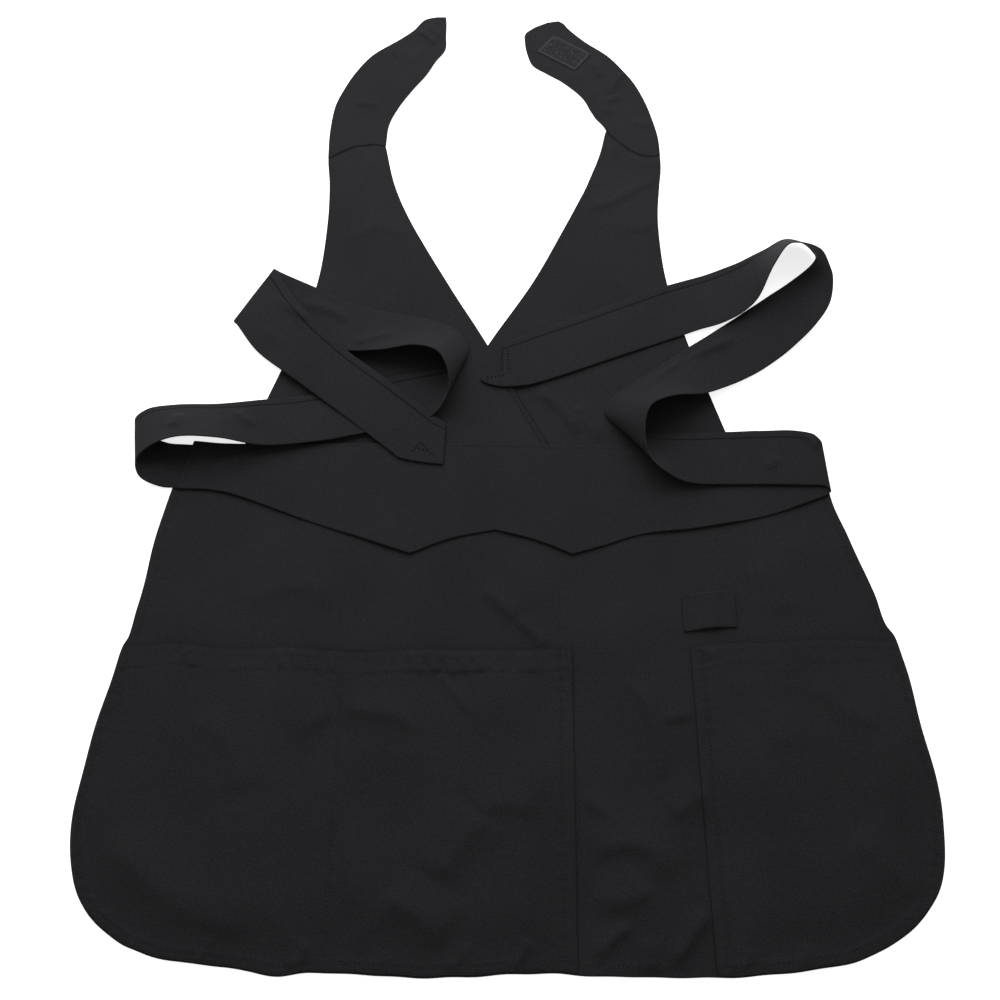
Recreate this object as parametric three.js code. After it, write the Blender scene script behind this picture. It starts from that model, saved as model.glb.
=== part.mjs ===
// Barber apron lying flat on a table, front up: skirt with pockets, scalloped waist yoke, crossed bib,
// two open neck straps and two waist ties folded loosely back over the front.
// Millimetres. +Z is up and +Y runs from the hem to the neck. Left and right are as seen from above,
// looking from the hem to the neck, so +X is right.
import * as THREE from 'three';

// Cloth and layers
const CLOTH = 1.0;                 // wall of every cloth layer
const GAP = 0.3;                   // clearance between layers and along seams
const LAYER = CLOTH + GAP;         // one layer up
const WAIST_Y = -50;               // seam of bib and skirt, hidden under the yoke
const SKIRT_MIDDLE_Y = -250;       // edges sewn on the skirt are drawn in toward this height

// Yoke
const YOKE_BASE = 2 * LAYER;       // it passes over the doubled bib and the sewn tie ends
const YOKE_LIFT = 1.6;             // rise of its free lower edge
const YOKE_RIPPLE = 0.7;           // waves along that edge
const YOKE_WAVE = 132;             // length of one wave

// Pockets
const POCKET_RISE = 5.4;           // how far a pocket stands off the skirt
const POCKET_ROLL = 46;            // width of the slope from a sewn edge to the top of the pocket
const POCKET_INSET = 1.5;          // pocket edge inside the skirt edge
const DIVIDER_X = -133;            // stitched line that parts the double pocket
const DOUBLE_MOUTH_Y = -241;
const DOUBLE_MOUTH_DROP = 1;       // how much lower that mouth is at its right end
const DOUBLE_EDGE_X = 52;
const SINGLE_MOUTH_LEFT_Y = -241;
const SINGLE_MOUTH_RIGHT_Y = -233;
const SINGLE_EDGE_X = 149;
const FOLD_MARGIN = 8;             // flat strip of skirt along a sewn pocket edge
const FOLD_FADE = 14;              // over which the skirt's folds come up beyond that strip
const FOLD_LEAST = 0.05;           // lower than this a fold has died out

// Tool loop, sewn down along its two sides
const LOOP = { x: 166.4, top: -190.7, bottom: -222.5, skew: 4.3, width: 43, rise: 5.4, seam: 5, roll: 9 };

// Bib and straps
const SEAM_Y = 308;                // height of the strap seams
const SEAM_REACH = 60;             // how far the curve of a seam spreads into the cloth on either side
const CROSS_START = 62;            // the left bib panel begins to rise this far before the right one's edge
const CROSS_RAMP = 38;             // and is one layer up after this much more
const LIFT_Y = 368;                // the left strap rises onto the patch under it from here
const LIFT_RAMP = 40;

// Hook-and-loop patches
const PATCH = { length: 49, width: 31 };
const LOOP_PATCH = { x: 62, y: 446, turn: -36, under: LAYER };
const HOOK_PATCH = { x: -98, y: 449, turn: 50, under: 0 };

// Colours
const BLACK_CLOTH = '#28282b';
const BLACK_PATCH = '#202022';
const CLOTH_ROUGHNESS = 0.92;
const PATCH_ROUGHNESS = 0.98;

// Skirt outline from the waist down each side to the middle of the hem corner, then along the hem.
// Columns: x, y.
const SIDE_LEFT = [
  [-280, WAIST_Y], [-293, -106], [-299.5, -152], [-305, -203], [-308.3, -231], [-312.5, -240], [-319, -273],
  [-330.5, -352], [-331.5, -384], [-328, -414], [-320, -437.5], [-309, -454], [-301.5, -461.5],
];
const SIDE_RIGHT = [
  [277, WAIST_Y], [280.5, -103], [290, -138], [304.5, -193], [310.5, -220], [316.5, -231], [319.5, -250],
  [323.5, -283], [331, -352], [332, -380], [327.5, -416], [320, -437.5], [308, -454], [300, -462],
];
const HEM = [
  [-301.5, -461.5], [-294, -467.3], [-281, -476], [-271, -480], [-257, -484.5], [-233, -489], [-205, -491.5],
  [-187, -495], [-165, -498], [-143, -495.5], [-114, -496.5], [-71, -499], [-42, -499], [-13, -497.5],
  [30, -496], [59, -498], [102, -498.7], [160, -499], [189, -497], [218, -494], [248, -489], [263, -484],
  [276, -478], [293, -467.3], [300, -462],
];

// Bib panels, one row per height. Columns: y, outer edge x, inner edge x.
// The inner edge is the neckline down to y 63 and the crossover edge below it.
const BIB_LEFT = [
  [SEAM_Y, -178.5, -122], [259, -175, -111], [213, -174, -94], [138, -179, -57], [63, -197, -18],
  [11, -213.5, 8], [WAIST_Y, -233, 39],
];
const BIB_RIGHT = [
  [SEAM_Y, 155, 102.5], [285, 154.5, 95.3], [259, 152, 81.5], [213, 148, 61], [138, 152, 26], [63, 168, -17],
  [11, 182.3, -42.5], [WAIST_Y, 199.5, -72],
];

// Neck straps, one row per section from the bib seam to the pointed end.
// Columns: outer edge x, y, inner edge x, y.
const STRAP_LEFT = [
  [-178.5, SEAM_Y, -122, SEAM_Y], [-179, 337, -119.5, 341], [-175.5, 368, -110, 368], [-168, 391, -97, 391],
  [-157, 415, -84, 411], [-141, 440.5, -74, 432], [-117, 461, -64.5, 449], [-98, 479, -64, 470],
  [-86.5, 495, -64, 490], [-74, 499, -64.5, 499],
];
const STRAP_RIGHT = [
  [155, SEAM_Y, 102.5, SEAM_Y], [154, 331, 94.3, 331], [148.5, 356, 88.7, 356], [142, 379, 80, 379],
  [133, 402, 60, 402], [123, 419, 43, 415.5], [107, 442, 29, 427], [86, 461, 23, 446], [74, 474, 21, 462],
  [66, 484, 21.5, 474.5], [62, 490.5, 30, 483.5], [57, 494, 45, 492],
];
// Rise of each strap seam above its height at the outer and inner edges, and its bow between them.
const SEAM_LEFT = { outer: -14, inner: 3.5, bow: 8 };
const SEAM_RIGHT = { outer: -9, inner: 25, bow: -12.5 };

// Waist yoke, one row per section along the waist. Columns: top edge x, y, lower edge x, y.
const YOKE = [
  [-276, -43, -287, -91], [-247, -45.8, -248, -94], [-178, -46, -178, -120], [-130, -45.5, -130, -138],
  [-82, -45.5, -82, -155], [-46, -46, -46, -140], [-10, -46, -10, -132], [24, -47, 24, -142],
  [55, -48, 55, -156], [83, -48, 83, -147], [113, -49, 113, -137], [165, -47, 165, -130],
  [226, -44, 226, -117], [265, -40, 279, -97],
];

// Waist ties, one row per station from the sewn end to the free end.
// Columns: stitched edge x, y, z, bearing and lift in degrees of the line across the tie, its length.
const TIE_LEFT = [
  [-269, -47, 1.8, -92, 0, 43], [-284, -46, 2, -92, 0, 44], [-300, -44.5, 2.4, -91, 1, 45],
  [-319.5, -35, 3, -88, 9, 49], [-331, -20.5, 4, -78, 16, 54], [-321, -10.5, 5, -78, 19, 54],
  [-299, -6.8, 6, -78, 25, 54], [-261, -5.5, 6, -78, 23, 54], [-221, -0.7, 5, -81, 9, 54],
  [-172, 7, 3.6, -79, 5, 53], [-124, 21, 3.4, -77, 2, 54], [-83, 31, 3.4, -83, 2, 54],
  [-55, 37, 3.6, -98, 7, 54], [-39, 45, 3.6, -105, 21, 54], [-35, 57, 3.6, -111, 29, 54],
  [-44, 76, 3.6, -113, 32, 54], [-65, 88, 3.6, -111, 28, 54], [-99, 96, 4, -107, 15, 54],
  [-140, 106, 5, -111, 1, 54], [-180, 128, 5, -116, -1, 58], [-215, 147, 5.4, -118, 0, 66],
  [-221, 149.5, 7.6, -118, 0, 69], [-216, 141, 9.8, -118.5, 0, 68], [-195, 106, 11.5, -122, -2, 63],
  [-150, 54, 12.5, -129, -4, 52], [-100, 12, 12, -132, -2, 52], [-65, -18, 10.4, -131, -1, 52],
  [-61, -21.5, 10.2, -131, -1, 52], [-57, -24.5, 10, -114, -1, 45], [-55, -27, 9.6, -91, -1, 41],
];
const TIE_RIGHT = [
  [262, -42, 1.8, -91, 0, 51], [270, -43.5, 2, -87, 0, 51], [277.5, -45, 4.5, -87, 0.5, 50],
  [272, -37.5, 7, -86, 1, 53], [258, -33.5, 7.4, -89, 1.5, 56], [224, -33.5, 7, -91, 1, 55],
  [184, -35, 6, -90, 2, 54], [155, -36, 4.6, -86, 6, 54], [127, -35, 3.4, -77, 17, 54],
  [102, -29, 3, -65, 27, 54], [89, -15, 3, -47, 35, 54], [93, 1, 3, -40, 38, 54],
  [114, 18, 3, -45, 33, 54], [145, 42, 3, -50, 12, 54], [205, 86, 3, -67, -1, 59],
  [248, 119, 3, -69, 5, 60], [276, 141, 3, -70, 23, 60], [293, 158, 3, -82, 37, 58],
  [297, 166, 3, -90, 43, 56], [294, 174, 3, -94, 50, 55], [289, 181, 3, -99, 49.5, 54],
  [281, 186, 3.4, -104, 47, 54], [269, 187, 4, -99, 45, 54], [249, 174, 5, -91, 36, 54],
  [218, 155, 6, -77, 10, 55], [185, 141.6, 5.8, -70, 4, 59], [153, 131, 5.6, -63, 0.5, 58],
  [71, 96, 5, -67, 0, 55], [22, 75, 5, -71, 0, 54], [5, 67, 5, -79, 1, 52],
  [-2, 63, 5, -96, 1, 48], [-3, 62, 5, -114, 1, 46],
];

// Raised folds of the laid panels. Columns: from x, y, to x, y, half width, height.
const SKIRT_FOLDS = [
  [-2, -190, 30, -226, 12, 2.2], [95, -280, 111, -335, 11, 3], [111, -335, 108, -385, 11, 2.6],
  [78, -498, 90, -455, 10, 3.2], [118, -499, 116, -440, 9, 3], [-200, -172, -120, -205, 18, 1.6],
  [236, -160, 262, -200, 18, 2], [88, -395, 98, -440, 12, 1.8],
];
const DOUBLE_FOLDS = [
  [-158, -319, -123, -300, 12, 1.6], [-123, -300, -63, -319, 12, 1.6], [-56, -414, -21, -373, 12, 2],
  [-307, -414, -256, -458, 14, 1.8], [-256, -458, -188, -476, 14, 1.6], [-22, -268, -63, -247, 9, 1.2],
];
const SINGLE_FOLDS = [
  [190, -262, 214, -330, 14, 1.4], [262, -400, 300, -440, 14, 1.8],
];

// Steps along a panel's edges, closer where its corners are round or its folds show.
// Columns: from and to as parts of the edge, number of steps.
const SKIRT_ACROSS = [[0, 0.1, 4], [0.1, 0.57, 8], [0.57, 0.77, 10], [0.77, 0.9, 3], [0.9, 1, 4]];
const SKIRT_DOWN = [[0, 0.8, 14], [0.8, 1, 7]];
const POCKET_DOWN = [[0, 0.6, 6], [0.6, 1, 8]];
const DOUBLE_LEFT_ACROSS = [[0, 0.35, 5], [0.35, 1, 4]];
const DOUBLE_RIGHT_ACROSS = [[0, 1, 8]];
const SINGLE_ACROSS = [[0, 0.55, 4], [0.55, 1, 5]];

// Steps across a ladder of cloth, and between neighbouring rows of its table.
const BIB_STEPS = { left: 14, right: 9, rows: 3 };
const STRAP_STEPS = { across: 5, rows: 2 };
const YOKE_STEPS = { across: 5, rows: 2 };
const LOOP_STEPS = { across: 14, rows: 3 };
const TIE_STEPS = { across: 4, rows: 3 };
const CURVE_POINTS = 200;          // along a smooth edge before it is divided
const SEAM_POINTS = 90;            // along a seam that a pocket rises from

const mix = (a, b, t) => a + (b - a) * t;

const radians = (degrees) => (degrees * Math.PI) / 180;

const flatPoint = (x, y) => new THREE.Vector3(x, y, 0);

// Smooth step from 0 to 1.
function smooth(t) {
  const c = Math.min(1, Math.max(0, t));
  return c * c * (3 - 2 * c);
}

// List of places from 0 to 1 out of a table of stretches.
function placesOf(stretches) {
  const places = [0];
  for (const [from, to, steps] of stretches) {
    for (let s = 1; s <= steps; s += 1) {
      places.push(mix(from, to, s / steps));
    }
  }
  return places;
}

// Smooth curve through a table of points, as many evenly spaced points.
function curveThrough(rows) {
  const points = rows.map(([x, y]) => flatPoint(x, y));
  return new THREE.CatmullRomCurve3(points, false, 'centripetal').getSpacedPoints(CURVE_POINTS);
}

// Points of a polyline at given places along its length.
function pointsAt(points, places) {
  const path = new THREE.CurvePath();
  for (let k = 1; k < points.length; k += 1) {
    path.add(new THREE.LineCurve3(points[k - 1], points[k]));
  }
  return places.map((t) => path.getPointAt(t));
}

// Grid of points filling the space between four edges. Rows run from the upper edge to the lower one.
function patchBetween(edges, across, down) {
  const us = placesOf(across);
  const vs = placesOf(down);
  const upper = pointsAt(edges.upper, us);
  const lower = pointsAt(edges.lower, us);
  const left = pointsAt(edges.left, vs);
  const right = pointsAt(edges.right, vs);
  const last = us.length - 1;
  return vs.map((v, j) => us.map((u, i) => {
    const blend = (key) => mix(upper[i][key], lower[i][key], v) + mix(left[j][key], right[j][key], u)
      - mix(mix(upper[0][key], upper[last][key], u), mix(lower[0][key], lower[last][key], u), v);
    return flatPoint(blend('x'), blend('y'));
  }));
}

// Grid between two rails, each a list of points, with straight lines across from rail to rail.
function ladder(first, second, across) {
  return first.map((start, k) => {
    const row = [];
    for (let i = 0; i <= across; i += 1) {
      row.push(start.clone().lerp(second[k], i / across));
    }
    return row;
  });
}

// Smooth rail through the points of a table, with the same number of steps between neighbouring rows.
function smoothRail(points, steps) {
  return new THREE.CatmullRomCurve3(points, false, 'centripetal').getPoints((points.length - 1) * steps);
}

// The same with straight stretches, so that the corners of the table stay sharp.
function straightRail(points, steps) {
  const out = [points[0].clone()];
  for (let k = 1; k < points.length; k += 1) {
    for (let s = 1; s <= steps; s += 1) {
      out.push(points[k - 1].clone().lerp(points[k], s / steps));
    }
  }
  return out;
}

// Height of a set of folds at a place on the cloth.
function foldHeight(folds, x, y) {
  let highest = 0;
  for (const [x1, y1, x2, y2, width, height] of folds) {
    const dx = x2 - x1;
    const dy = y2 - y1;
    const along = Math.min(1, Math.max(0, ((x - x1) * dx + (y - y1) * dy) / (dx * dx + dy * dy)));
    const off = Math.hypot(x - x1 - along * dx, y - y1 - along * dy);
    highest = Math.max(highest, height * Math.exp(-((off / width) ** 2)));
  }
  return highest < FOLD_LEAST ? 0 : highest;
}

// Puts the under face of a flat grid at the height that a function gives for each point.
function lay(grid, heightAt) {
  for (const row of grid) {
    for (const point of row) {
      point.z = heightAt(point) + CLOTH / 2;
    }
  }
  return grid;
}

// Closed cloth wall of even thickness on both sides of a grid. Laid cloth is thickened straight up.
function clothMesh(name, grid, laid) {
  const rows = grid.length;
  const columns = grid[0].length;
  const upper = [];
  const under = [];
  for (let j = 0; j < rows; j += 1) {
    for (let i = 0; i < columns; i += 1) {
      const du = grid[j][Math.min(columns - 1, i + 1)].clone().sub(grid[j][Math.max(0, i - 1)]);
      const dv = grid[Math.min(rows - 1, j + 1)][i].clone().sub(grid[Math.max(0, j - 1)][i]);
      const normal = du.cross(dv).normalize();
      if (laid) {
        normal.set(0, 0, Math.sign(normal.z));
      }
      upper.push(...grid[j][i].clone().addScaledVector(normal, CLOTH / 2).toArray());
      under.push(...grid[j][i].clone().addScaledVector(normal, -CLOTH / 2).toArray());
    }
  }
  const geometry = new THREE.BufferGeometry();
  geometry.setAttribute('position', new THREE.Float32BufferAttribute([...upper, ...under], 3));
  geometry.setIndex(wallTriangles(rows, columns));
  geometry.computeVertexNormals();
  return namedMesh(name, geometry, BLACK_CLOTH, CLOTH_ROUGHNESS);
}

// Triangles of a wall whose two faces are grids of the same size, joined round their rim.
function wallTriangles(rows, columns) {
  const count = rows * columns;
  const at = (j, i) => j * columns + i;
  const index = [];
  const rim = [];
  for (let j = 0; j < rows - 1; j += 1) {
    for (let i = 0; i < columns - 1; i += 1) {
      const a = at(j, i);
      const b = at(j, i + 1);
      const c = at(j + 1, i + 1);
      const d = at(j + 1, i);
      index.push(a, b, c, a, c, d);
      index.push(a + count, c + count, b + count, a + count, d + count, c + count);
    }
  }
  for (let i = 0; i < columns - 1; i += 1) {
    rim.push(at(0, i));
  }
  for (let j = 0; j < rows - 1; j += 1) {
    rim.push(at(j, columns - 1));
  }
  for (let i = columns - 1; i > 0; i -= 1) {
    rim.push(at(rows - 1, i));
  }
  for (let j = rows - 1; j > 0; j -= 1) {
    rim.push(at(j, 0));
  }
  rim.forEach((a, k) => {
    const b = rim[(k + 1) % rim.length];
    index.push(b, a, a + count, b, a + count, b + count);
  });
  return index;
}

function namedMesh(name, geometry, colour, roughness) {
  const material = new THREE.MeshStandardMaterial({ color: colour, roughness, metalness: 0 });
  const mesh = new THREE.Mesh(geometry, material);
  mesh.name = name;
  return mesh;
}

// Height of the skirt's folds, which die out before the edges that are sewn down on it.
function skirtHeight({ x, y }) {
  const panel = smooth((x - DOUBLE_EDGE_X - FOLD_MARGIN) / FOLD_FADE)
    * smooth((SINGLE_EDGE_X - FOLD_MARGIN - x) / FOLD_FADE);
  const above = smooth((y - DOUBLE_MOUTH_Y - FOLD_MARGIN) / FOLD_FADE);
  return foldHeight(SKIRT_FOLDS, x, y) * Math.max(panel, above);
}

// Skirt: one panel with rounded hem corners, flat on the table apart from its folds.
function makeSkirt() {
  const waist = WAIST_Y - GAP / 2;
  const lowered = ([x, y]) => [x, Math.min(y, waist)];
  const left = curveThrough(SIDE_LEFT.map(lowered));
  const right = curveThrough(SIDE_RIGHT.map(lowered));
  const edges = { upper: [left[0], right[0]], lower: curveThrough(HEM), left, right };
  return clothMesh('skirt', lay(patchBetween(edges, SKIRT_ACROSS, SKIRT_DOWN), skirtHeight), true);
}

// Part of the skirt's outline that passes a test, drawn in toward the middle of the skirt.
function insetPart(rows, keep) {
  return curveThrough(rows).filter(keep).map(({ x, y }) => {
    const reach = Math.hypot(x, y - SKIRT_MIDDLE_Y);
    const scale = (reach - POCKET_INSET) / reach;
    return flatPoint(x * scale, (y - SKIRT_MIDDLE_Y) * scale + SKIRT_MIDDLE_Y);
  });
}

// Lays a pocket: sewn down along its seams, standing off the skirt between them, open at its mouth.
function pocketMesh(name, grid, seams, folds) {
  const lines = seams.map((seam) => pointsAt(seam, placesOf([[0, 1, SEAM_POINTS]]))).flat();
  return clothMesh(name, lay(grid, ({ x, y }) => {
    const nearest = Math.min(...lines.map((p) => Math.hypot(p.x - x, p.y - y)));
    return LAYER + smooth(nearest / POCKET_ROLL) * (POCKET_RISE + foldHeight(folds, x, y));
  }), true);
}

function makeDoublePocket() {
  const side = insetPart(SIDE_LEFT, (p) => p.y <= DOUBLE_MOUTH_Y);
  const hemLeft = insetPart(HEM, (p) => p.x <= DIVIDER_X);
  const hemRight = insetPart(HEM, (p) => p.x > DIVIDER_X && p.x <= DOUBLE_EDGE_X);
  const foot = hemLeft[hemLeft.length - 1];
  side.push(hemLeft[0]);
  hemRight.unshift(foot);
  const divider = [flatPoint(DIVIDER_X, DOUBLE_MOUTH_Y), foot];
  const edge = [flatPoint(DOUBLE_EDGE_X, DOUBLE_MOUTH_Y - DOUBLE_MOUTH_DROP), hemRight[hemRight.length - 1]];
  const first = patchBetween({ upper: [side[0], divider[0]], lower: hemLeft, left: side, right: divider },
    DOUBLE_LEFT_ACROSS, POCKET_DOWN);
  const second = patchBetween({ upper: [divider[0], edge[0]], lower: hemRight, left: divider, right: edge },
    DOUBLE_RIGHT_ACROSS, POCKET_DOWN);
  const grid = first.map((row, j) => [...row, ...second[j].slice(1)]);
  return pocketMesh('pocket_double', grid, [side, hemLeft, hemRight, divider, edge], DOUBLE_FOLDS);
}

function makeSinglePocket() {
  const side = insetPart(SIDE_RIGHT, (p) => p.y <= SINGLE_MOUTH_RIGHT_Y);
  const hem = insetPart(HEM, (p) => p.x >= SINGLE_EDGE_X);
  side.push(hem[hem.length - 1]);
  const edge = [flatPoint(SINGLE_EDGE_X, SINGLE_MOUTH_LEFT_Y), hem[0]];
  const grid = patchBetween({ upper: [edge[0], side[0]], lower: hem, left: edge, right: side },
    SINGLE_ACROSS, POCKET_DOWN);
  return pocketMesh('pocket_single', grid, [side, hem, edge], SINGLE_FOLDS);
}

// Tool loop: a short strip sewn down at its two sides and standing open along Y between them.
function makeLoop() {
  const half = LOOP.width / 2;
  const low = LOOP.bottom - LOOP.skew;
  const left = [flatPoint(LOOP.x - half, LOOP.top - LOOP.skew), flatPoint(LOOP.x - half, low)];
  const right = [flatPoint(LOOP.x + half, LOOP.top), flatPoint(LOOP.x + half, LOOP.bottom)];
  const grid = ladder(straightRail(left, LOOP_STEPS.rows), straightRail(right, LOOP_STEPS.rows),
    LOOP_STEPS.across);
  return clothMesh('tool_loop', lay(grid, ({ x }) => (
    LAYER + LOOP.rise * smooth((half - LOOP.seam - Math.abs(x - LOOP.x)) / LOOP.roll))), true);
}

// Rise of a strap seam above its height, from the outer edge at 0 to the inner edge at 1.
function seamRise(seam, t) {
  return mix(seam.outer, seam.inner, t) + seam.bow * 4 * t * (1 - t);
}

// Moves the cloth next to a strap seam so that its edge follows the seam.
function followSeam(grid, seam, clearance) {
  for (const row of grid) {
    row.forEach((point, i) => {
      const near = 1 - smooth(Math.abs(point.y - SEAM_Y) / SEAM_REACH);
      point.y += near * (seamRise(seam, i / (row.length - 1)) + clearance);
    });
  }
  return grid;
}

// Bib panel between its outer and inner edges, its upper edge following the strap seam.
function bibGrid(table, seam, across) {
  const base = (y) => (y === WAIST_Y ? y + GAP / 2 : y);
  const outer = smoothRail(table.map(([y, x]) => flatPoint(x, base(y))), BIB_STEPS.rows);
  const inner = smoothRail(table.map(([y, , x]) => flatPoint(x, base(y))), BIB_STEPS.rows);
  return followSeam(ladder(outer, inner, across), seam, -GAP / 2);
}

// Inner edge of the right bib panel at a height, where the left panel has to lie one layer up.
function hiddenEdge(y) {
  const k = Math.max(1, BIB_RIGHT.findIndex(([rowY]) => rowY <= y));
  const [y1, , x1] = BIB_RIGHT[k - 1];
  const [y2, , x2] = BIB_RIGHT[k];
  return mix(x1, x2, (y1 - y) / (y1 - y2));
}

function makeBibLeft() {
  const grid = bibGrid(BIB_LEFT, SEAM_LEFT, BIB_STEPS.left);
  return clothMesh('bib_left', lay(grid, ({ x, y }) => (
    LAYER * smooth((x - hiddenEdge(y) + CROSS_START) / CROSS_RAMP))), true);
}

function makeBibRight() {
  const grid = bibGrid(BIB_RIGHT, SEAM_RIGHT, BIB_STEPS.right);
  return clothMesh('bib_right', lay(grid, () => 0), true);
}

// Neck strap from the bib seam to its pointed end. A lifted end lies on the patch under it.
function makeStrap(name, table, seam, lifted) {
  const outer = smoothRail(table.map(([x, y]) => flatPoint(x, y)), STRAP_STEPS.rows);
  const inner = smoothRail(table.map(([, , x, y]) => flatPoint(x, y)), STRAP_STEPS.rows);
  const grid = followSeam(ladder(outer, inner, STRAP_STEPS.across), seam, GAP);
  return clothMesh(name, lay(grid, ({ y }) => lifted * smooth((y - LIFT_Y) / LIFT_RAMP)), true);
}

// Yoke: sewn along its top edge, its scalloped lower edge standing a little clear.
function makeYoke() {
  const upper = straightRail(YOKE.map(([x, y]) => flatPoint(x, y)), YOKE_STEPS.rows);
  const lower = straightRail(YOKE.map(([, , x, y]) => flatPoint(x, y)), YOKE_STEPS.rows);
  const grid = ladder(upper, lower, YOKE_STEPS.across);
  for (const row of grid) {
    row.forEach((point, i) => {
      const free = (i / YOKE_STEPS.across) ** 2;
      const wave = YOKE_RIPPLE * Math.sin((2 * Math.PI * point.x) / YOKE_WAVE);
      point.z = YOKE_BASE + CLOTH / 2 + free * (YOKE_LIFT + wave);
    });
  }
  return clothMesh('waist_yoke', grid, true);
}

// Tie: a ribbon whose stations give its stitched edge and the line across to its free edge.
function makeTie(name, table) {
  const stitched = table.map(([x, y, z]) => new THREE.Vector3(x, y, z));
  const free = table.map(([x, y, z, bearing, lift, length]) => {
    const flat = length * Math.cos(radians(lift));
    return new THREE.Vector3(x + flat * Math.cos(radians(bearing)), y + flat * Math.sin(radians(bearing)),
      z + length * Math.sin(radians(lift)));
  });
  const rails = [stitched, free].map((points) => smoothRail(points, TIE_STEPS.rows));
  const grid = ladder(rails[0], rails[1], TIE_STEPS.across);
  return clothMesh(name, grid, false);
}

// Hook-and-loop patch, a thin rectangle.
function makePatch(name, place) {
  const box = new THREE.BoxGeometry(PATCH.length, PATCH.width, CLOTH);
  const mesh = namedMesh(name, box, BLACK_PATCH, PATCH_ROUGHNESS);
  mesh.position.set(place.x, place.y, place.under + CLOTH / 2);
  mesh.rotation.z = radians(place.turn);
  return mesh;
}

const apron = new THREE.Group();
apron.name = 'barber_apron';
apron.add(makeSkirt());
apron.add(makeBibLeft());
apron.add(makeBibRight());
apron.add(makeYoke());
apron.add(makeDoublePocket());
apron.add(makeSinglePocket());
apron.add(makeLoop());
apron.add(makeStrap('neck_strap_left', STRAP_LEFT, SEAM_LEFT, LAYER));
apron.add(makeStrap('neck_strap_right', STRAP_RIGHT, SEAM_RIGHT, 0));
apron.add(makePatch('loop_patch', LOOP_PATCH));
apron.add(makePatch('hook_patch', HOOK_PATCH));
apron.add(makeTie('waist_tie_left', TIE_LEFT));
apron.add(makeTie('waist_tie_right', TIE_RIGHT));

export default apron;
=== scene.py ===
import math

import bpy
import numpy as np
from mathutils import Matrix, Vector
from mathutils.geometry import delaunay_2d_cdt


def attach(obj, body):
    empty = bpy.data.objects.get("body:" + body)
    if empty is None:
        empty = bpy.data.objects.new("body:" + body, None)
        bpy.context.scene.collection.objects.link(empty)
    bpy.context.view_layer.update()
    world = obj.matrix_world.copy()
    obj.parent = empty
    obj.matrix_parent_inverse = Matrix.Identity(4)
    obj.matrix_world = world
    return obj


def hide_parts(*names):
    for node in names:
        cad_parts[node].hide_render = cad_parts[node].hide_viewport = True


bl_info = {
    "name": "Barber Apron",
    "version": (1, 0, 0),
    "blender": (4, 5, 0),
    "location": "View3D > Sidebar > Apron",
    "description": "Dresses a barber apron laid flat: panels, pockets, neck straps, waist ties and seams",
    "category": "Object",
}

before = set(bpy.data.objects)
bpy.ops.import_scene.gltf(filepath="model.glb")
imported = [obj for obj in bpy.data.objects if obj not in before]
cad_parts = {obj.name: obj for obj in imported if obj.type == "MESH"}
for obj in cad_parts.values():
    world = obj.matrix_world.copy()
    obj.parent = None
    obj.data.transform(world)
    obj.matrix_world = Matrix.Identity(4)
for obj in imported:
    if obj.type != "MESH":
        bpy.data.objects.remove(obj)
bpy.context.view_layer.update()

# Shapes are worked out in millimetres, as the tables below are, and made in metres.
MM = 0.001
LAYER = 1.3
# Room between a piece and the cloth under it, and between the two sides of a strap seam.
ROOM = 0.2
SEAM_GAP = 0.1
SKIRT_MIDDLE_Y = -250
# Spacing of points along the edges of panels, straps and the tool loop, and along folds.
EDGE_STEP = 2.6
STRAP_STEP = 2.4
LOOP_STEP = 1.6
FOLD_STEP = 3
# Distance of stitched lines from the inner fold of a hem, then from the edges they follow.
SKIRT_STITCH = 1.5
POCKET_STITCH = 2.5
EDGE_STITCH = 9
CROSS_STITCH = 5
YOKE_STITCH = 2.5
YOKE_END_STITCH = 4
LOOP_STITCH = 3.2

# Skirt outline from the waist down each side to the hem corner, then along the hem. Columns: x, y.
SIDE_LEFT = [
    (-280, -50.2), (-293, -106), (-299.5, -152), (-305, -203), (-308.3, -231), (-312.5, -240), (-319, -273),
    (-330.5, -352), (-331.5, -384), (-328, -414), (-320, -437.5), (-309, -454), (-301.5, -461.5),
]
SIDE_RIGHT = [
    (277, -50.2), (280.5, -103), (290, -138), (304.5, -193), (310.5, -220), (316.5, -231), (319.5, -250),
    (323.5, -283), (331, -352), (332, -380), (327.5, -416), (320, -437.5), (308, -454), (300, -462),
]
HEM = [
    (-301.5, -461.5), (-294, -467.3), (-281, -476), (-271, -480), (-257, -484.5), (-233, -489),
    (-205, -491.5), (-187, -495), (-165, -498), (-143, -495.5), (-114, -496.5), (-71, -499), (-42, -499),
    (-13, -497.5), (30, -496), (59, -498), (102, -498.7), (160, -499), (189, -497), (218, -494),
    (248, -489), (263, -484), (276, -478), (293, -467.3), (300, -462),
]

# Bib panels, one row per height. Columns: y, outer edge x, inner edge x.
BIB_LEFT = [
    (308, -178.5, -122), (259, -175, -111), (213, -174, -94), (138, -179, -57), (63, -197, -18),
    (11, -213.5, 8), (-49.8, -233, 39),
]
BIB_RIGHT = [
    (308, 155, 102.5), (285, 154.5, 95.3), (259, 152, 81.5), (213, 148, 61), (138, 152, 26), (63, 168, -17),
    (11, 182.3, -42.5), (-49.8, 199.5, -72),
]
CROSS_START = 62
CROSS_RAMP = 38
CROSS_TOP = 25

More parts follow.
